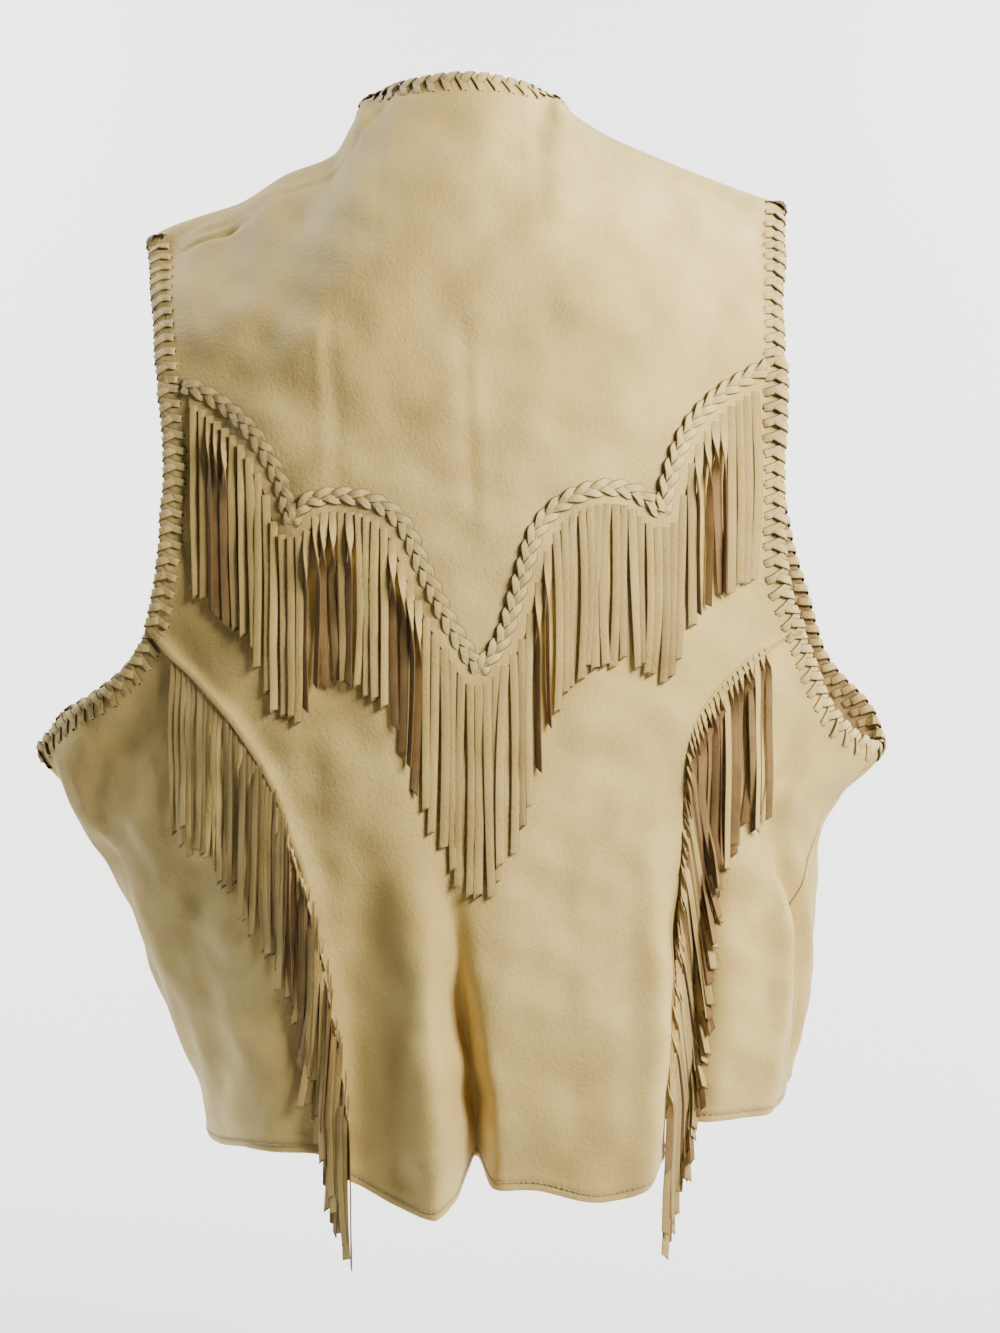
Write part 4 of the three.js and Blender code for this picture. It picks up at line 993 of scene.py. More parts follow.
class Edge:
    """An edge of the leather, run by its true length, with its inward and outward ways."""

    def __init__(self, points, outward, inward, closed=False):
        steps = np.linalg.norm(np.diff(points, axis=0), axis=-1)
        keep = np.concatenate([[True], steps > LEAST_STEP])
        points, outward = points[keep], outward[keep]
        run = run_along(points)
        self.length = run[-1]
        self.closed = closed
        self.run = np.linspace(0, self.length, int(self.length))
        held = [np.interp(self.run, run, column) for column in (*points.T, *outward.T)]
        self.points = self.evened(held[:3], EVEN_POINTS)
        self.outward = unit(self.evened(held[3:], EVEN_OUTWARD))
        along = unit(np.gradient(self.points, axis=0))
        inwards = unit(np.cross(self.outward, along)) * inward
        self.inward = unit(self.evened(list(inwards.T), EVEN_INWARD))

    def evened(self, columns, reach):
        """A running mean over a few millimetres to each side."""
        padded = [np.pad(c, reach, mode="wrap" if self.closed else "edge") for c in columns]
        kernel = np.ones(2 * reach + 1) / (2 * reach + 1)
        return np.stack([np.convolve(c, kernel, mode="valid") for c in padded], -1)

    def at(self, reach):
        """Place, inward way and outward way at distances along the edge."""
        if self.closed:
            reach = np.mod(reach, self.length)
        values = np.concatenate([self.points, self.inward, self.outward], 1)
        read = np.stack([np.interp(reach, self.run, column) for column in values.T], -1)
        return read[..., :3], unit(read[..., 3:6]), unit(read[..., 6:])


# %% Stitches over an edge
STITCH = table("inwards over wrap up out along", [
    (12.6, -0.9, 0, 1, 0, 3.0),
    (11.8, 0.1, 0, 1, 0, 2.8),
    (10.4, 0.4, 0, 1, 0, 2.4),
    (6.5, 0.4, 0, 1, 0, 1.0),
    (2.4, 0.4, 0, 1, 0, -0.8),
    (0, 0.2, 0.3, 0.8, 0.6, -1.4),
    (0, -0.9, 0.9, 0, 1, -1.5),
    (0, -2.0, 0.3, -0.8, 0.6, -1.4),
    (2.4, -2.2, 0, -1, 0, -0.8),
    (6.5, -2.2, 0, -1, 0, 1.0),
    (10.4, -2.2, 0, -1, 0, 2.4),
    (11.8, -1.9, 0, -1, 0, 2.8),
    (12.6, -1.0, 0, -1, 0, 3.0),
])
BEAD = table("inwards over wrap up out along", [
    (6.2, 0.5, 0, 1, 0, -3.4),
    (5.2, 1.1, 0, 1, 0, -2.9),
    (2.6, 1.3, 0, 1, 0, -1.4),
    (0.6, 1.05, 0.4, 0.85, 0.5, 0.2),
    (0, -0.9, 1.7, 0, 1, 1.4),
    (0.6, -2.9, 0.4, -0.85, 0.5, 2.4),
    (2.6, -3.1, 0, -1, 0, 3.4),
    (5.2, -2.9, 0, -1, 0, 4.4),
    (6.2, -2.3, 0, -1, 0, 4.8),
])


PITCH = 9.8
JITTER = 0.25
LACE_WIDTH = 5.6
BEAD_WIDTH = 6.0
LACE_WALL = 0.95


def over_edge(name, edge, rows, width, start=0.0):
    """Strips that follow the rows of a stitch table round an edge, once every pitch."""
    count = int(round(edge.length / PITCH)) if edge.closed else int(edge.length / PITCH)
    pitch = edge.length / count
    places = (np.arange(count) + 0.5 + start) * pitch
    jitter = np.random.default_rng(count).uniform(-JITTER, JITTER, (count, 1))
    reach = places[:, None] + rows["along"][None] + jitter
    point, inwards, outwards = edge.at(reach)
    spread = point + inwards * rows["inwards"][None, :, None]
    seated, up = seat(spread)
    on_edge = (rows["inwards"] < 1)[None, :, None]
    seated = np.where(on_edge, point, seated)
    up = unit(np.where(on_edge, outwards, up))
    paths = seated + up * rows["over"][None, :, None] - inwards * rows["wrap"][None, :, None]
    normals = unit(up * rows["up"][None, :, None] - inwards * rows["out"][None, :, None])
    strips(name, paths, normals, width, LACE_WALL, LACE_PROFILE)
    return paths, normals


def edge_from(pieces, inward, closed=False):
    points = np.concatenate([points for points, _ in pieces])
    outward = np.concatenate([outward for _, outward in pieces])
    return Edge(points, outward, inward, closed)


def grid_edge(each, rows, columns):
    return each["outer"][rows, columns], each["outward"][rows, columns]


def nearest(shares, value):
    return int(np.argmin(np.abs(shares - value)))


split_row = nearest(center_v, CENTER_SPLIT)
front_row = nearest(front_v, FRONT_SPLIT)
DOWN = slice(None, None, -1)
ALL = slice(None)
armhole_edges = {
    "left": edge_from([
        grid_edge(yoke, DOWN, 0),
        grid_edge(center, slice(None, split_row, -1), 0),
        grid_edge(side_panels["left"], -1, DOWN),
        grid_edge(fronts["left"], slice(front_row, None), -1),
    ], 1, closed=True),
    "right": edge_from([
        grid_edge(yoke, DOWN, -1),
        grid_edge(center, slice(None, split_row, -1), -1),
        grid_edge(side_panels["right"], -1, ALL),
        grid_edge(fronts["right"], slice(front_row, None), 0),
    ], -1, closed=True),
}
neck_start, neck_end = np.cumsum(SHOULDER_STEPS)[:2] / sum(SHOULDER_STEPS)
neck_columns = slice(nearest(yoke_u, neck_start), nearest(yoke_u, neck_end) + 1)
neck_edge = edge_from([grid_edge(yoke, -1, neck_columns)], -1)
front_edge_lines = {
    "left": edge_from([grid_edge(fronts["left"], ALL, 0)], -1),
    "right": edge_from([grid_edge(fronts["right"], ALL, -1)], 1),
}
laced = {
    "armhole_lace_left": armhole_edges["left"],
    "armhole_lace_right": armhole_edges["right"],
    "neck_lace": neck_edge,
    "front_lace_left": front_edge_lines["left"],
    "front_lace_right": front_edge_lines["right"],
}
hole_places = []
hole_normals = []
for name, edge in laced.items():
    paths, normals = over_edge(name + "_stitches", edge, STITCH, LACE_WIDTH)
    over_edge(name + "_beads", edge, BEAD, BEAD_WIDTH, 0.5)
    hole_places.append(paths[:, 0])
    hole_normals.append(normals[:, 0])
    print(name, round(edge.length), "mm long")

# %% [markdown]
# ## Punched holes
#
# A hole shows as a small dark oval where a lace goes in. A flat disc just over the leather,
# coloured as painted shadow for the shade inside the hole, is enough, because nobody sees
# into a hole that a lace fills.

# %% Discs in the holes
HOLE_RADIUS = 1.25
HOLE_SIDES = 12
HOLE_DEPTH = 0.3
HOLE_RISE = 0.12
HOLE_TAPER = 0.9
ANY_WAY = np.array([0.3, 0.2, 1.0])


def discs(name, centres, normals, radius):
    """Low closed discs: a ring under the surface and a smaller one just over it."""
    count = len(centres)
    first = unit(np.cross(normals, ANY_WAY))
    second = np.cross(normals, first)
    turn = np.linspace(0, 2 * math.pi, HOLE_SIDES, endpoint=False)[None, :, None]
    ring = first[:, None] * np.cos(turn) + second[:, None] * np.sin(turn)
    low = centres[:, None] + ring * radius - normals[:, None] * HOLE_DEPTH
    high = centres[:, None] + ring * radius * HOLE_TAPER + normals[:, None] * HOLE_RISE
    vertices = np.concatenate([low, high], 1).reshape(-1, 3)
    index = np.arange(count * 2 * HOLE_SIDES).reshape(count, 2, HOLE_SIDES)
    after = np.roll(index, -1, axis=2)
    walls = np.stack([index[:, 0], after[:, 0], after[:, 1], index[:, 1]], -1).reshape(-1, 4)
    caps = np.concatenate([index[:, 1], index[:, 0, ::-1]])
    make_piece(name, vertices, walls.tolist() + caps.tolist())
    print(name, count, "holes")


hole_centres, hole_up = seat(np.concatenate(hole_places))
discs("lace_holes", hole_centres, hole_up, HOLE_RADIUS)

# %% [markdown]
# ## The braid on the scallops
#
# Three flat laces are plaited along the yoke's edge. In a flat plait each lace swings from
# side to side once in a period, and goes over and under twice in the same time. Its place
# across is a sine made straighter between the turns, because a flat lace folds at the edge.
# Its height is the sine of double that angle, and the laces are a third of a period apart.

# %% Plaiting three laces
BRAID_PERIOD = 32.0
BRAID_SWING = 3.3
BRAID_LACE = 5.6
BRAID_RISE = 1.0
BRAID_LIFT = 1.5
BRAID_STEP = 1.1
BRAID_FOLD = 0.985
BRAID_INSET = 9.0
BRAID_OVERRUN = 2.0
BRAID_SINK = 4


def on_back(x, z):
    """Place and outward way on the back at x and z."""
    return leather(angle_of(x, z, "back"), z)


flat_scallops = [Curve(np.stack([rows["x"], rows["z"]], -1)) for rows in SCALLOPS]
braid_paths = []
for number, curve in enumerate(flat_scallops):
    first = BRAID_INSET if number == 0 else -BRAID_OVERRUN
    inset = BRAID_INSET if number == len(flat_scallops) - 1 else -BRAID_OVERRUN
    last = curve.length - inset
    reach = np.linspace(first, last, int((last - first) / BRAID_STEP))
    share = np.clip(reach / curve.length, 0, 1)
    along = curve.along(np.clip(share, 0.01, 0.99))
    beyond = (reach - share * curve.length)[:, None] * along
    place = curve.at(share) + beyond
    across = np.stack([-along[:, 1], along[:, 0]], -1)
    for lace in range(3):
        phase = 2 * math.pi * (reach / BRAID_PERIOD + lace / 3)
        folded = np.arcsin(BRAID_FOLD * np.sin(phase)) / math.asin(BRAID_FOLD)
        line = place + across * (BRAID_SWING * folded)[:, None]
        point, outward = on_back(line[:, 0], line[:, 1])
        ends = smooth((reach - first) / BRAID_SINK) * smooth((last - reach) / BRAID_SINK)
        height = BRAID_LIFT * ends + BRAID_RISE * np.sin(2 * phase) * ends
        braid_paths.append((point + outward * height[:, None], outward))


def join_strips(name, paths, width):
    """Strips of different lengths in one piece: each is resampled to the same stations."""
    share = np.linspace(0, 1, max(len(path) for path, _ in paths))

    def resampled(rows):
        return np.stack([np.interp(share, np.linspace(0, 1, len(rows)), c) for c in rows.T], -1)

    lines = np.stack([resampled(path) for path, _ in paths])
    ups = np.stack([resampled(up) for _, up in paths])
    strips(name, lines, unit(ups), width, LACE_WALL, LACE_PROFILE)


join_strips("yoke_braid_laces", braid_paths, BRAID_LACE)

# %% [markdown]
# ## Fringe
#
# Fringe is a strip of leather cut into strands that stay joined at the top. The strands hang
# straight, but a few turn over and show the brown flesh side, and their ends are cut at a
# slant. Each strand is a strip on a path that starts under the braid or the seam and falls
# down the back, a little off the leather.

# %% The yoke fringe
STRAND_WIDTH = 5.25
STRAND_WALL = 1.1
YOKE_STRANDS = 68
YOKE_FROM = -175
YOKE_TO = 187
STRIP_REACH = 12.0
STRIP_TOP = 2.0
STRIP_LIFT = 0.35
ROOT_RISE = 2
END_SPREAD = 2.5
DRIFT_SPREAD = 1.5
BOW_SPREAD = 1.0
ROOT_LIFT = 0.5
END_LIFT = (0.2, 1.5)
END_SLANT = (2, 6)
WIDTH_SPREAD = 0.1
TURN_SPREAD = 22
STRAIGHT_SPREAD = 7
LIFT_RATE = 3
TURN_RATE = 2.6
TURN_DELAY = 0.05
STATIONS = 20
LAST_STATION = 0.99
STRIP_COLUMNS = 320
FAR_ABOVE = 1e3
YOKE_DROP = table("x length", [
    (-190, 124), (-130, 120), (-80, 107), (-30, 118), (9, 132),
    (40, 116), (85, 102), (125, 94), (160, 112), (200, 126),
])
YOKE_TURNED = table("x_from x_to turn share", [
    (-175, -138, 150, 0.45),
    (-103, -62, 165, 0.75),
    (-47, -28, 140, 0.7),
    (38, 52, 120, 0.7),
    (142, 168, 130, 0.5),
])
scallop_dots = np.concatenate([curve.dots for curve in flat_scallops])


def below_scallops(x, reach):
    """Lowest height of the scallops near each x: the braid's line, moved down."""
    away = np.abs(scallop_dots[None, :, 0] - x[:, None])
    sag = np.sqrt(np.maximum(reach ** 2 - away ** 2, 0))
    return np.min(np.where(away < reach, scallop_dots[None, :, 1] - sag, FAR_ABOVE), axis=1)


def back_depth(x, z, spread=2.4):
    """Depth of the most outward leather close to each place."""
    sides = [on_back(x + step, z)[0][..., 1] for step in (-spread, 0, spread)]
    return np.minimum.reduce(sides)


def turned_share(x, rows, rng):
    """How far each strand turns over, from the stretches that are listed as turned."""
    turn = rng.normal(0, STRAIGHT_SPREAD, len(x))
    for x_from, x_to, angle, share in np.stack(list(rows.values()), -1):
        chosen = (x > x_from) & (x < x_to) & (rng.uniform(0, 1, len(x)) < share)
        turn = np.where(chosen, angle + rng.normal(0, TURN_SPREAD, len(x)), turn)
    return turn * DEGREE


def hang(name, x, z, lift, turn, width, wall, slant):
    """Strands through places across and down, off the leather by the lift."""
    depth = back_depth(x, z)
    clear = lift + 0.5 * width * np.abs(np.sin(turn))
    paths = np.stack([x, depth - clear, z], -1)
    normals = np.broadcast_to([0.0, -1.0, 0.0], paths.shape)
    strips(name, paths, normals, width, wall, STRAND_PROFILE, turn, slant)


def uneven(rng, middle, spread, count):
    """A column of values, each a little to either side of the middle."""
    return middle * (1 + spread * rng.uniform(-1, 1, count))[:, None]


rng = np.random.default_rng(5)
down = np.concatenate([np.linspace(0, LAST_STATION, STATIONS - 1), [1]])[None, :]
pitch = (YOKE_TO - YOKE_FROM) / YOKE_STRANDS
root_x = YOKE_FROM + (np.arange(YOKE_STRANDS) + 0.5) * pitch
root_z = below_scallops(root_x, STRIP_REACH) + ROOT_RISE
drop = reading(YOKE_DROP, "x", "length")(root_x) + rng.normal(0, END_SPREAD, YOKE_STRANDS)
turn = turned_share(root_x, YOKE_TURNED, rng)
drift = rng.normal(0, DRIFT_SPREAD, YOKE_STRANDS)
bow = rng.normal(0, BOW_SPREAD, YOKE_STRANDS)
x = root_x[:, None] + drift[:, None] * down ** 1.5 + bow[:, None] * np.sin(math.pi * down)
z = root_z[:, None] - drop[:, None] * down
lift = ROOT_LIFT + rng.uniform(*END_LIFT, YOKE_STRANDS)[:, None] * smooth(down * LIFT_RATE)
turns = turn[:, None] * smooth(down * TURN_RATE - TURN_DELAY)
widths = uneven(rng, STRAND_WIDTH, WIDTH_SPREAD, YOKE_STRANDS)
slants = rng.uniform(*END_SLANT, YOKE_STRANDS)
hang("yoke_fringe_strands", x, z, lift, turns, widths, STRAND_WALL, slants)


RIBBON_ROWS = 5


def ribbon(name, upper, lower, lift, wall):
    """A strip between two rows of places on the back, as a closed wall."""
    steps = np.linspace(0, 1, RIBBON_ROWS)[:, None]
    x = lower[:, 0] * (1 - steps) + upper[:, 0] * steps
    z = lower[:, 1] * (1 - steps) + upper[:, 1] * steps
    point, outward = on_back(x, z)
    if x[0, 0] > x[0, -1]:
        point, outward = point[:, ::-1], outward[:, ::-1]
    low = point + outward * lift
    count = x.size
    marks = {"cut": np.zeros(2 * count), "flesh": np.repeat([0.0, 1.0], count)}
    wall_piece(name, low + outward * wall, low, tone=np.full(2 * count, 0.5), **marks)
    print(name, x.shape[1], "columns")


strip_x = np.linspace(YOKE_FROM, YOKE_TO, STRIP_COLUMNS)
ribbon(
    "yoke_fringe_strip",
    np.stack([strip_x, below_scallops(strip_x, STRIP_TOP)], -1),
    np.stack([strip_x, below_scallops(strip_x, STRIP_REACH)], -1),
    STRIP_LIFT,
    STRAND_WALL,
)

# %% The two seam fringes
SEAM_STRANDS = 64
SEAM_WIDTH = 4.7
SEAM_WIDTH_SPREAD = 0.08
SEAM_WALL = 0.8
SEAM_START = 26
SEAM_END = {"left": -536, "right": -532}
SEAM_STRIP = 4.2
SEAM_STRIP_LIFT = 0.2
SEAM_INSET = 1.5
SEAM_DROP = 108
SEAM_DROP_SPREAD = 4.5
SEAM_SLANT = (1, 5)
LOOSE_SPREAD = 2.3
SEAM_STRIP_COLUMNS = 160
SEAM_LIFT_RATE = 5
SEAM_LIFT_DELAY = 0.05
SEAM_TURN_RATE = 5
LEAN = 26
LEAN_OVER = 1.5
LEAN_SPREAD = 10
LEAN_RATE = 8
LEAN_AT_ROOT = 0.35
LANE_HEIGHTS = np.linspace(-250, -650, 401)
CROWD = 1.05
CROWD_RISE = 4
CROWD_SOFT = 26
CROWD_SPACE = (1.5, 2.5)
ROOT_CLEAR = 0.3
END_CLEAR = 1.2
LAYERS = 4.6
SEAM_TURNED = {
    "left": table("x_from x_to turn share", [(-112, -96, 150, 0.6), (-90, -60, 165, 0.35)]),
    "right": table("x_from x_to turn share", [(146, 200, 165, 0.85), (120, 146, 165, 0.45)]),
}


def seam_fringe(side, seed):
    """Strands from a curved seam. Where it is steep, each is pushed aside by the next."""
    rng = np.random.default_rng(seed)
    sign = 1 if side == "left" else -1
    joint = princess[side].at(1)
    joint_x = middle_at(joint[1]) + half_at(joint[1]) * math.sin(joint[0] * DEGREE)
    rows = np.stack([PRINCESS[side]["x"], PRINCESS[side]["z"]], -1)[::-1]
    seam = Curve(np.concatenate([[[joint_x, joint[1]]], rows]))
    end = seam.share_where(1, SEAM_END[side])
    share = np.linspace(SEAM_START / seam.length, end, SEAM_STRANDS)

    def aside_at(share):
        along = seam.along(share)
        return np.stack([sign * along[:, 1], -sign * along[:, 0]], -1)

    root = seam.at(share) + aside_at(share) * SEAM_INSET
    lanes = np.zeros((SEAM_STRANDS, len(LANE_HEIGHTS)))
    lanes[-1] = root[-1, 0]
    away = np.minimum if side == "left" else np.maximum
    for k in range(SEAM_STRANDS - 2, -1, -1):
        below = root[k + 1, 1] + CROWD_RISE - LANE_HEIGHTS
        pushed = lanes[k + 1] - sign * CROWD * smooth(below / CROWD_SOFT)
        lanes[k] = np.where(below > 0, away(root[k, 0], pushed), root[k, 0])
    drop = SEAM_DROP + rng.normal(0, SEAM_DROP_SPREAD, SEAM_STRANDS)
    z = root[:, 1][:, None] - drop[:, None] * down
    x = np.stack([np.interp(-z[k], -LANE_HEIGHTS, lanes[k]) for k in range(SEAM_STRANDS)])
    x = x + rng.normal(0, LOOSE_SPREAD, SEAM_STRANDS)[:, None] * down ** 2
    x = x + rng.normal(0, BOW_SPREAD, SEAM_STRANDS)[:, None] * np.sin(math.pi * down)
    space = np.abs(np.gradient(x, axis=0))
    crowded = 1 - smooth((space - CROWD_SPACE[0]) / CROWD_SPACE[1])
    lean = -sign * LEAN * smooth((SEAM_WIDTH - space) / LEAN_OVER)
    lean = (lean + rng.normal(0, LEAN_SPREAD, SEAM_STRANDS)[:, None] * crowded) * DEGREE
    turn = turned_share(root[:, 0], SEAM_TURNED[side], rng)[:, None]
    turn = turn * smooth(down * SEAM_TURN_RATE) + lean * smooth(down * LEAN_RATE + LEAN_AT_ROOT)
    layer = rng.uniform(0, 1, SEAM_STRANDS)[:, None] * LAYERS * crowded
    grown = smooth((down - SEAM_LIFT_DELAY) * SEAM_LIFT_RATE)
    lift = ROOT_CLEAR + (END_CLEAR + layer) * grown
    width = uneven(rng, SEAM_WIDTH, SEAM_WIDTH_SPREAD, SEAM_STRANDS)
    slants = sign * rng.uniform(*SEAM_SLANT, SEAM_STRANDS)
    hang(f"seam_fringe_{side}_strands", x, z, lift, turn, width, SEAM_WALL, slants)
    share = np.linspace(SEAM_START / seam.length, end, SEAM_STRIP_COLUMNS)
    aside = aside_at(share)
    upper = seam.at(share) - aside * SEAM_INSET
    lower = upper + aside * SEAM_STRIP
    ribbon(f"seam_fringe_{side}_strip", upper, lower, SEAM_STRIP_LIFT, SEAM_WALL)


seam_fringe("left", 21)
seam_fringe("right", 33)

# %% [markdown]
# ## Hem stitches
#
# The hem is turned once and held by a row of thread a few millimetres above the edge. Each
# stitch is a short thin strip that dips into the leather at both ends.

# %% Thread along the hem
THREAD = 0.55
THREAD_PITCH = 3.4
THREAD_STEPS = np.array([-1.25, -0.9, 0, 0.9, 1.25])
THREAD_RISE = np.array([-0.5, 0.1, 0.3, 0.1, -0.5])
THREAD_INSET = 6
thread_paths = []
thread_ways = []
for each in panels[1:]:
    edge = edge_from([grid_edge(each, 0, ALL)], 1)
    places = np.arange(THREAD_INSET, edge.length - THREAD_INSET, THREAD_PITCH)
    point, inwards, _ = edge.at(places[:, None] + THREAD_STEPS[None])
    seated, up = seat(point + inwards * HEM_STITCH)
    thread_paths.append(seated + up * THREAD_RISE[None, :, None])
    thread_ways.append(up)
strips("hem_thread", np.concatenate(thread_paths), np.concatenate(thread_ways),
       THREAD, THREAD, LACE_PROFILE)

# %% [markdown]
# ## Leather finishes
#
# Buckskin is matte and pale, with a soft pebbled grain and cloudy patches of cream and tan.
# Its flesh side is brown and rough. One recipe mixes both by the marks on the mesh, so a
# strand that turns over changes colour by itself. Every raw edge, lap edges too, gets a thin
# dark line, partly its own darker colour and partly painted shade between laces, strands and
# panels; the seam grooves and the hem's stitch line get painted shade the same way.


# %% A small language for shader maths
class Field:
    """A shader socket that can be added, multiplied and compared like a number."""

    def __init__(self, tree, socket):
        self.tree = tree
        self.socket = socket

    def math(self, operation, *inputs):
        node = self.tree.nodes.new("ShaderNodeMath")
        node.operation = operation
        for slot, value in zip(node.inputs, inputs):
            if isinstance(value, Field):
                self.tree.links.new(value.socket, slot)
            else:
                slot.default_value = value
        return Field(self.tree, node.outputs[0])

    def __add__(self, other):
        return self.math("ADD", self, other)

    def __sub__(self, other):
        return self.math("SUBTRACT", self, other)

    def __rsub__(self, other):
        return self.math("SUBTRACT", other, self)

    def __mul__(self, other):
        return self.math("MULTIPLY", self, other)

    __radd__ = __add__
    __rmul__ = __mul__


class Recipe:
    """A material and the one method that adds any node to it."""

    def __init__(self, name):
        self.material = bpy.data.materials.new(name)
        self.material.use_nodes = True
        self.tree = self.material.node_tree
        self.shader = self.tree.nodes["Principled BSDF"]

    def node(self, kind, output, settings=(), **inputs):
        made_node = self.tree.nodes.new("ShaderNode" + kind)
        for key, value in dict(settings).items():
            setattr(made_node, key, value)
        for key, value in inputs.items():
            slot = made_node.inputs[int(key[1:])] if key[1:].isdigit() else made_node.inputs[key]
            self.feed(slot, value)
        return Field(self.tree, made_node.outputs[output])

    def feed(self, slot, value):
        if isinstance(value, Field):
            self.tree.links.new(value.socket, slot)
        else:
            slot.default_value = value

    def mix(self, share, first, second):
        """A colour between two colours."""
        mixed = {"data_type": "RGBA", "blend_type": "MIX"}
        return self.node("Mix", 2, mixed, i0=share, i6=first, i7=second)

    def noise(self, place, scale, detail=3.0, rough=0.55):
        return self.node("TexNoise", 0, Vector=place, Scale=scale, Detail=detail, Roughness=rough)

    def mark(self, name):
        return self.node("Attribute", 2, {"attribute_name": name})


def limited(field, low, high):
    """A field stretched so that low becomes 0 and high becomes 1, and held between them."""
    stretched = (field - low) * (1 / (high - low))
    return stretched.math("MINIMUM", stretched.math("MAXIMUM", stretched, 0.0), 1.0)


# Each pattern in the leather repeats about this many times in a metre.
CLOUDS = 9.0
PATCHES = 34.0
FLESH_CLOUDS = 60.0
PEBBLES = 420.0
PORES = 1700.0
NAP = 1500.0
# Between these two values of its noise a pattern goes from none to full.
CLOUD_BOUNDS = (0.36, 0.64)
PATCH_BOUNDS = (0.42, 0.7)
SPECK_BOUNDS = (0.5, 0.75)
FLESH_BOUNDS = (0.35, 0.65)
# How far each pattern goes towards its darker colour.
PATCH_SHARE = 0.4
SPECK_SHARE = 0.1
FLESH_SHARE = 0.6
# How far marked edges and grooves go towards their dark tone: partly the raw edge's colour, partly
# painted shade.
EDGE_SHADE_SHARE = 0.9
# The relief of the grain, in metres, and how rough each side is.
RELIEF = 0.0015
RELIEF_STRENGTH = 0.55
GRAIN_ROUGH = 0.66
CLOUD_ROUGH = -0.06
FLESH_ROUGH = 0.2


def leather_recipe(name, main, light, tan, flesh_tone, edge_shade_tone, per_strip=0.0):
    """Grain side and flesh side of one hide."""
    recipe = Recipe(name)
    place = recipe.node("TexCoord", 3)
    cloud = limited(recipe.noise(place, CLOUDS, 4.0), *CLOUD_BOUNDS)
    patch = limited(recipe.noise(place, PATCHES, 5.0, 0.6), *PATCH_BOUNDS)
    speck = limited(recipe.noise(place, PEBBLES, 3.0), *SPECK_BOUNDS)
    pale = recipe.mix(cloud, main, light)
    pale = recipe.mix(patch * PATCH_SHARE, pale, tan)
    pale = recipe.mix(speck * SPECK_SHARE, pale, tan)
    if per_strip:
        pale = recipe.mix(recipe.mark("tone") * per_strip, pale, tan)
    brown_cloud = limited(recipe.noise(place, FLESH_CLOUDS, 4.0), *FLESH_BOUNDS)
    brown = recipe.mix(brown_cloud * FLESH_SHARE, flesh_tone, tan)
    flesh = recipe.mark("flesh")
    colour = recipe.mix(flesh, pale, brown)
    # Marked edges and grooves go dark: partly the raw edge's own colour, partly painted shade in
    # seam grooves and between laces and strands.
    colour = recipe.mix(recipe.mark("cut") * EDGE_SHADE_SHARE, colour, edge_shade_tone)
    pebble = recipe.noise(place, PEBBLES, 4.0, 0.6)
    pores = recipe.noise(place, PORES, 3.0, 0.6)
    nap = recipe.noise(place, NAP, 6.0, 0.75)
    height = pebble * 0.75 + pores * 0.25 + flesh * (nap * 0.6)
    bump = recipe.node("Bump", 0, Strength=RELIEF_STRENGTH, Distance=RELIEF, Height=height)
    rough = cloud * CLOUD_ROUGH + flesh * FLESH_ROUGH + GRAIN_ROUGH
    recipe.feed(recipe.shader.inputs["Base Color"], colour)
    recipe.feed(recipe.shader.inputs["Normal"], bump)
    recipe.feed(recipe.shader.inputs["Roughness"], rough)
    recipe.shader.inputs["Specular IOR Level"].default_value = 0.35
    recipe.shader.inputs["Sheen Weight"].default_value = 0.12
    recipe.shader.inputs["Sheen Roughness"].default_value = 0.5
    return recipe.material


MAIN_TONE = (0.62, 0.45, 0.14, 1)
LIGHT_TONE = (0.72, 0.55, 0.19, 1)
TAN_TONE = (0.47, 0.31, 0.11, 1)
FLESH_TONE = (0.3, 0.17, 0.06, 1)
# The edge tone darkens raw edges of laces and strands, partly their own colour and partly painted
# shade between them. The seam tone is painted shade in the panels' seam grooves and hem stitch line,
# and at lap edges.
EDGE_SHADE_TONE = (0.08, 0.045, 0.015, 1)
INNER_TONE = (0.4, 0.27, 0.12, 1)
SEAM_SHADE_TONE = (0.2, 0.13, 0.055, 1)
LACE_TONE = (0.6, 0.45, 0.165, 1)
LACE_LIGHT = (0.7, 0.55, 0.22, 1)
body_finish = leather_recipe(
    "pale_buckskin", MAIN_TONE, LIGHT_TONE, TAN_TONE, INNER_TONE, SEAM_SHADE_TONE)
lace_finish = leather_recipe(
    "pale_lace", LACE_TONE, LACE_LIGHT, TAN_TONE, FLESH_TONE, EDGE_SHADE_TONE, 0.25)
fringe_finish = leather_recipe(
    "cut_fringe", MAIN_TONE, LIGHT_TONE, TAN_TONE, FLESH_TONE, EDGE_SHADE_TONE, 0.45)


WEAR = 300.0
WEAR_BOUNDS = (0.3, 0.7)
DARKER = 0.6


def plain_finish(name, colour, rough):
    """One colour that is worn darker here and there."""
    recipe = Recipe(name)
    place = recipe.node("TexCoord", 3)
    worn = limited(recipe.noise(place, WEAR), *WEAR_BOUNDS)
    darker = tuple(channel * DARKER for channel in colour[:3]) + (1,)
    recipe.feed(recipe.shader.inputs["Base Color"], recipe.mix(worn, colour, darker))
    recipe.shader.inputs["Roughness"].default_value = rough
    return recipe.material


# The hole discs carry painted shadow: a near-black colour in place of the shade inside each hole.
hole_shadow_finish = plain_finish("hole_shadow", (0.035, 0.022, 0.012, 1), 0.95)
thread_finish = plain_finish("hem_thread_finish", (0.55, 0.45, 0.28, 1), 0.7)
print("finishes:", len(bpy.data.materials))

# %% [markdown]
# ## What each piece stands for
#
# A new piece that stands for a solid from the frame takes its place, and that solid is
# hidden. Every new piece gets its finish and rides with the root.

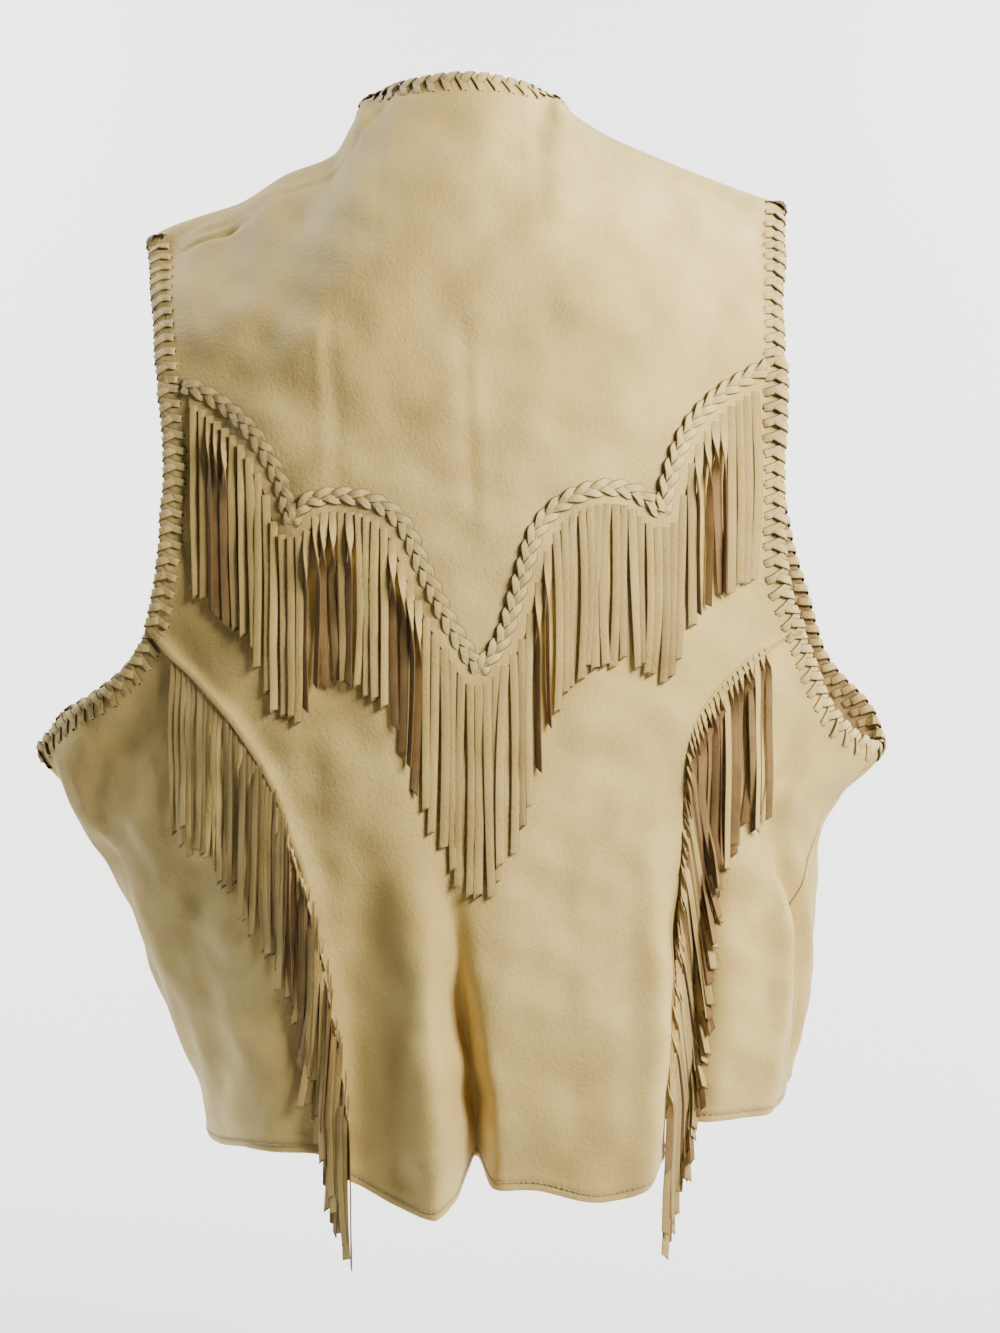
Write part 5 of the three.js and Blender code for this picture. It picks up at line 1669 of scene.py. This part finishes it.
# %% Finishes, riding and replacing
STANDS_FOR = {
    "back_yoke_leather": "back_yoke",
    "back_center_leather": "back_center",
    "neck_lace_stitches": "neck_lacing",
    "yoke_braid_laces": "yoke_braid",
    "yoke_fringe_strands": "yoke_fringe",
}
for side in ("left", "right"):
    STANDS_FOR[f"side_back_{side}_leather"] = f"side_back_{side}"
    STANDS_FOR[f"front_{side}_leather"] = f"front_{side}"
    STANDS_FOR[f"armhole_lace_{side}_stitches"] = f"armhole_lacing_{side}"
    STANDS_FOR[f"front_lace_{side}_stitches"] = f"front_lacing_{side}"
    STANDS_FOR[f"seam_fringe_{side}_strands"] = f"seam_fringe_{side}"


def finish_of(name):
    """The finish and the record's slot for a piece, from the last word of its name."""
    kind = name.split("_")[-1]
    if kind == "leather":
        return body_finish, "body_leather"
    if kind in ("strands", "strip"):
        return fringe_finish, "fringe_leather"
    # Hole discs get the painted hole shadow.
    if kind == "holes":
        return hole_shadow_finish, "body_leather"
    if kind == "thread":
        return thread_finish, "lace_leather"
    return lace_finish, "lace_leather"


for name, piece in made.items():
    finish, slot = finish_of(name)
    piece.data.materials.append(finish)
    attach(piece, "root")
    if name in STANDS_FOR:
        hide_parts(STANDS_FOR[name])

# %% [markdown]
# ## Floor, light and camera
#
# One soft light stands close on the right, a little over the yoke, so the folds show and
# the left side falls into shade. Two lights on the curved backdrop keep it pale. The camera
# stands behind the vest at the height of the yoke's lower edge.

# %% Floor and light
FLOOR_LEVEL = -0.95
BEND_START = 1.4
BEND_RADIUS = 1.5
WALL_TOP = 3.2
ROOM_HALF = 1.5
FLOOR_FRONT = -0.45
WORLD_LIGHT = 0.1
bend = np.linspace(0, math.pi / 2, 24)
bend_y = BEND_START + BEND_RADIUS * np.sin(bend)
bend_z = BEND_RADIUS * (1 - np.cos(bend))
floor_y = np.concatenate([[FLOOR_FRONT], bend_y, bend_y[-1:]])
floor_z = np.concatenate([[0], bend_z, [WALL_TOP]]) + FLOOR_LEVEL
floor_x = np.tile([-ROOM_HALF, ROOM_HALF], len(floor_y))
floor_points = np.stack([floor_x, np.repeat(floor_y, 2), np.repeat(floor_z, 2)], -1)
first = np.arange(len(floor_y) - 1) * 2
floor_faces = np.stack([first, first + 1, first + 3, first + 2], -1)
floor_mesh = bpy.data.meshes.new("floor")
floor_mesh.from_pydata(floor_points, [], floor_faces.tolist())
floor_mesh.shade_smooth()
floor = bpy.data.objects.new("floor", floor_mesh)
bpy.context.scene.collection.objects.link(floor)
floor_recipe = Recipe("pale_floor")
floor_recipe.shader.inputs["Base Color"].default_value = (0.88, 0.88, 0.87, 1)
floor_recipe.shader.inputs["Roughness"].default_value = 0.9
floor_mesh.materials.append(floor_recipe.material)

world = bpy.data.worlds.new("pale_room")
world.use_nodes = True
world.node_tree.nodes["Background"].inputs["Color"].default_value = (1, 1, 1, 1)
world.node_tree.nodes["Background"].inputs["Strength"].default_value = WORLD_LIGHT
bpy.context.scene.world = world


def area_light(name, place, target, size, power, colour):
    """A soft square light that looks from its place at a target."""
    data = bpy.data.lights.new(name, "AREA")
    data.size = size
    data.energy = power
    data.color = colour
    lamp = bpy.data.objects.new(name, data)
    bpy.context.scene.collection.objects.link(lamp)
    lamp.location = place
    away = np.array(place) - np.array(target)
    level = math.hypot(away[0], away[1])
    turn = math.atan2(away[0], -away[1])
    lamp.rotation_euler = (math.atan2(level, away[2]), 0, turn)


WARM = (1.0, 0.955, 0.86)
WHITE = (1, 1, 1)
area_light("key", (0.82, -0.74, 0.24), (0.06, 0, -0.1), size=0.5, power=33, colour=WARM)
for side, sign in (("left", -1), ("right", 1)):
    place = (sign * 2.2, 0.9, 1.6)
    target = (sign * 0.8, 2.9, -0.2)
    area_light("wall_" + side, place, target, size=1.2, power=240, colour=WHITE)

# %% Camera
# The lens shows half the picture's height, 0.4132 m, at 1.25 m from the camera.
CAMERA_PLACE = (0.0217, -1.35, -0.275)
SENSOR = 36
HALF_HEIGHT = 0.4132
DISTANCE = 1.25
CAMERA_LENS = SENSOR / 2 / (HALF_HEIGHT / DISTANCE)
camera_data = bpy.data.cameras.new("camera")
camera_data.sensor_width = SENSOR
camera_data.lens = CAMERA_LENS
camera = bpy.data.objects.new("camera", camera_data)
camera.location = CAMERA_PLACE
camera.rotation_euler = (math.pi / 2, 0, 0)
bpy.context.scene.collection.objects.link(camera)
bpy.context.scene.camera = camera
print("lens:", round(CAMERA_LENS, 2), "mm")
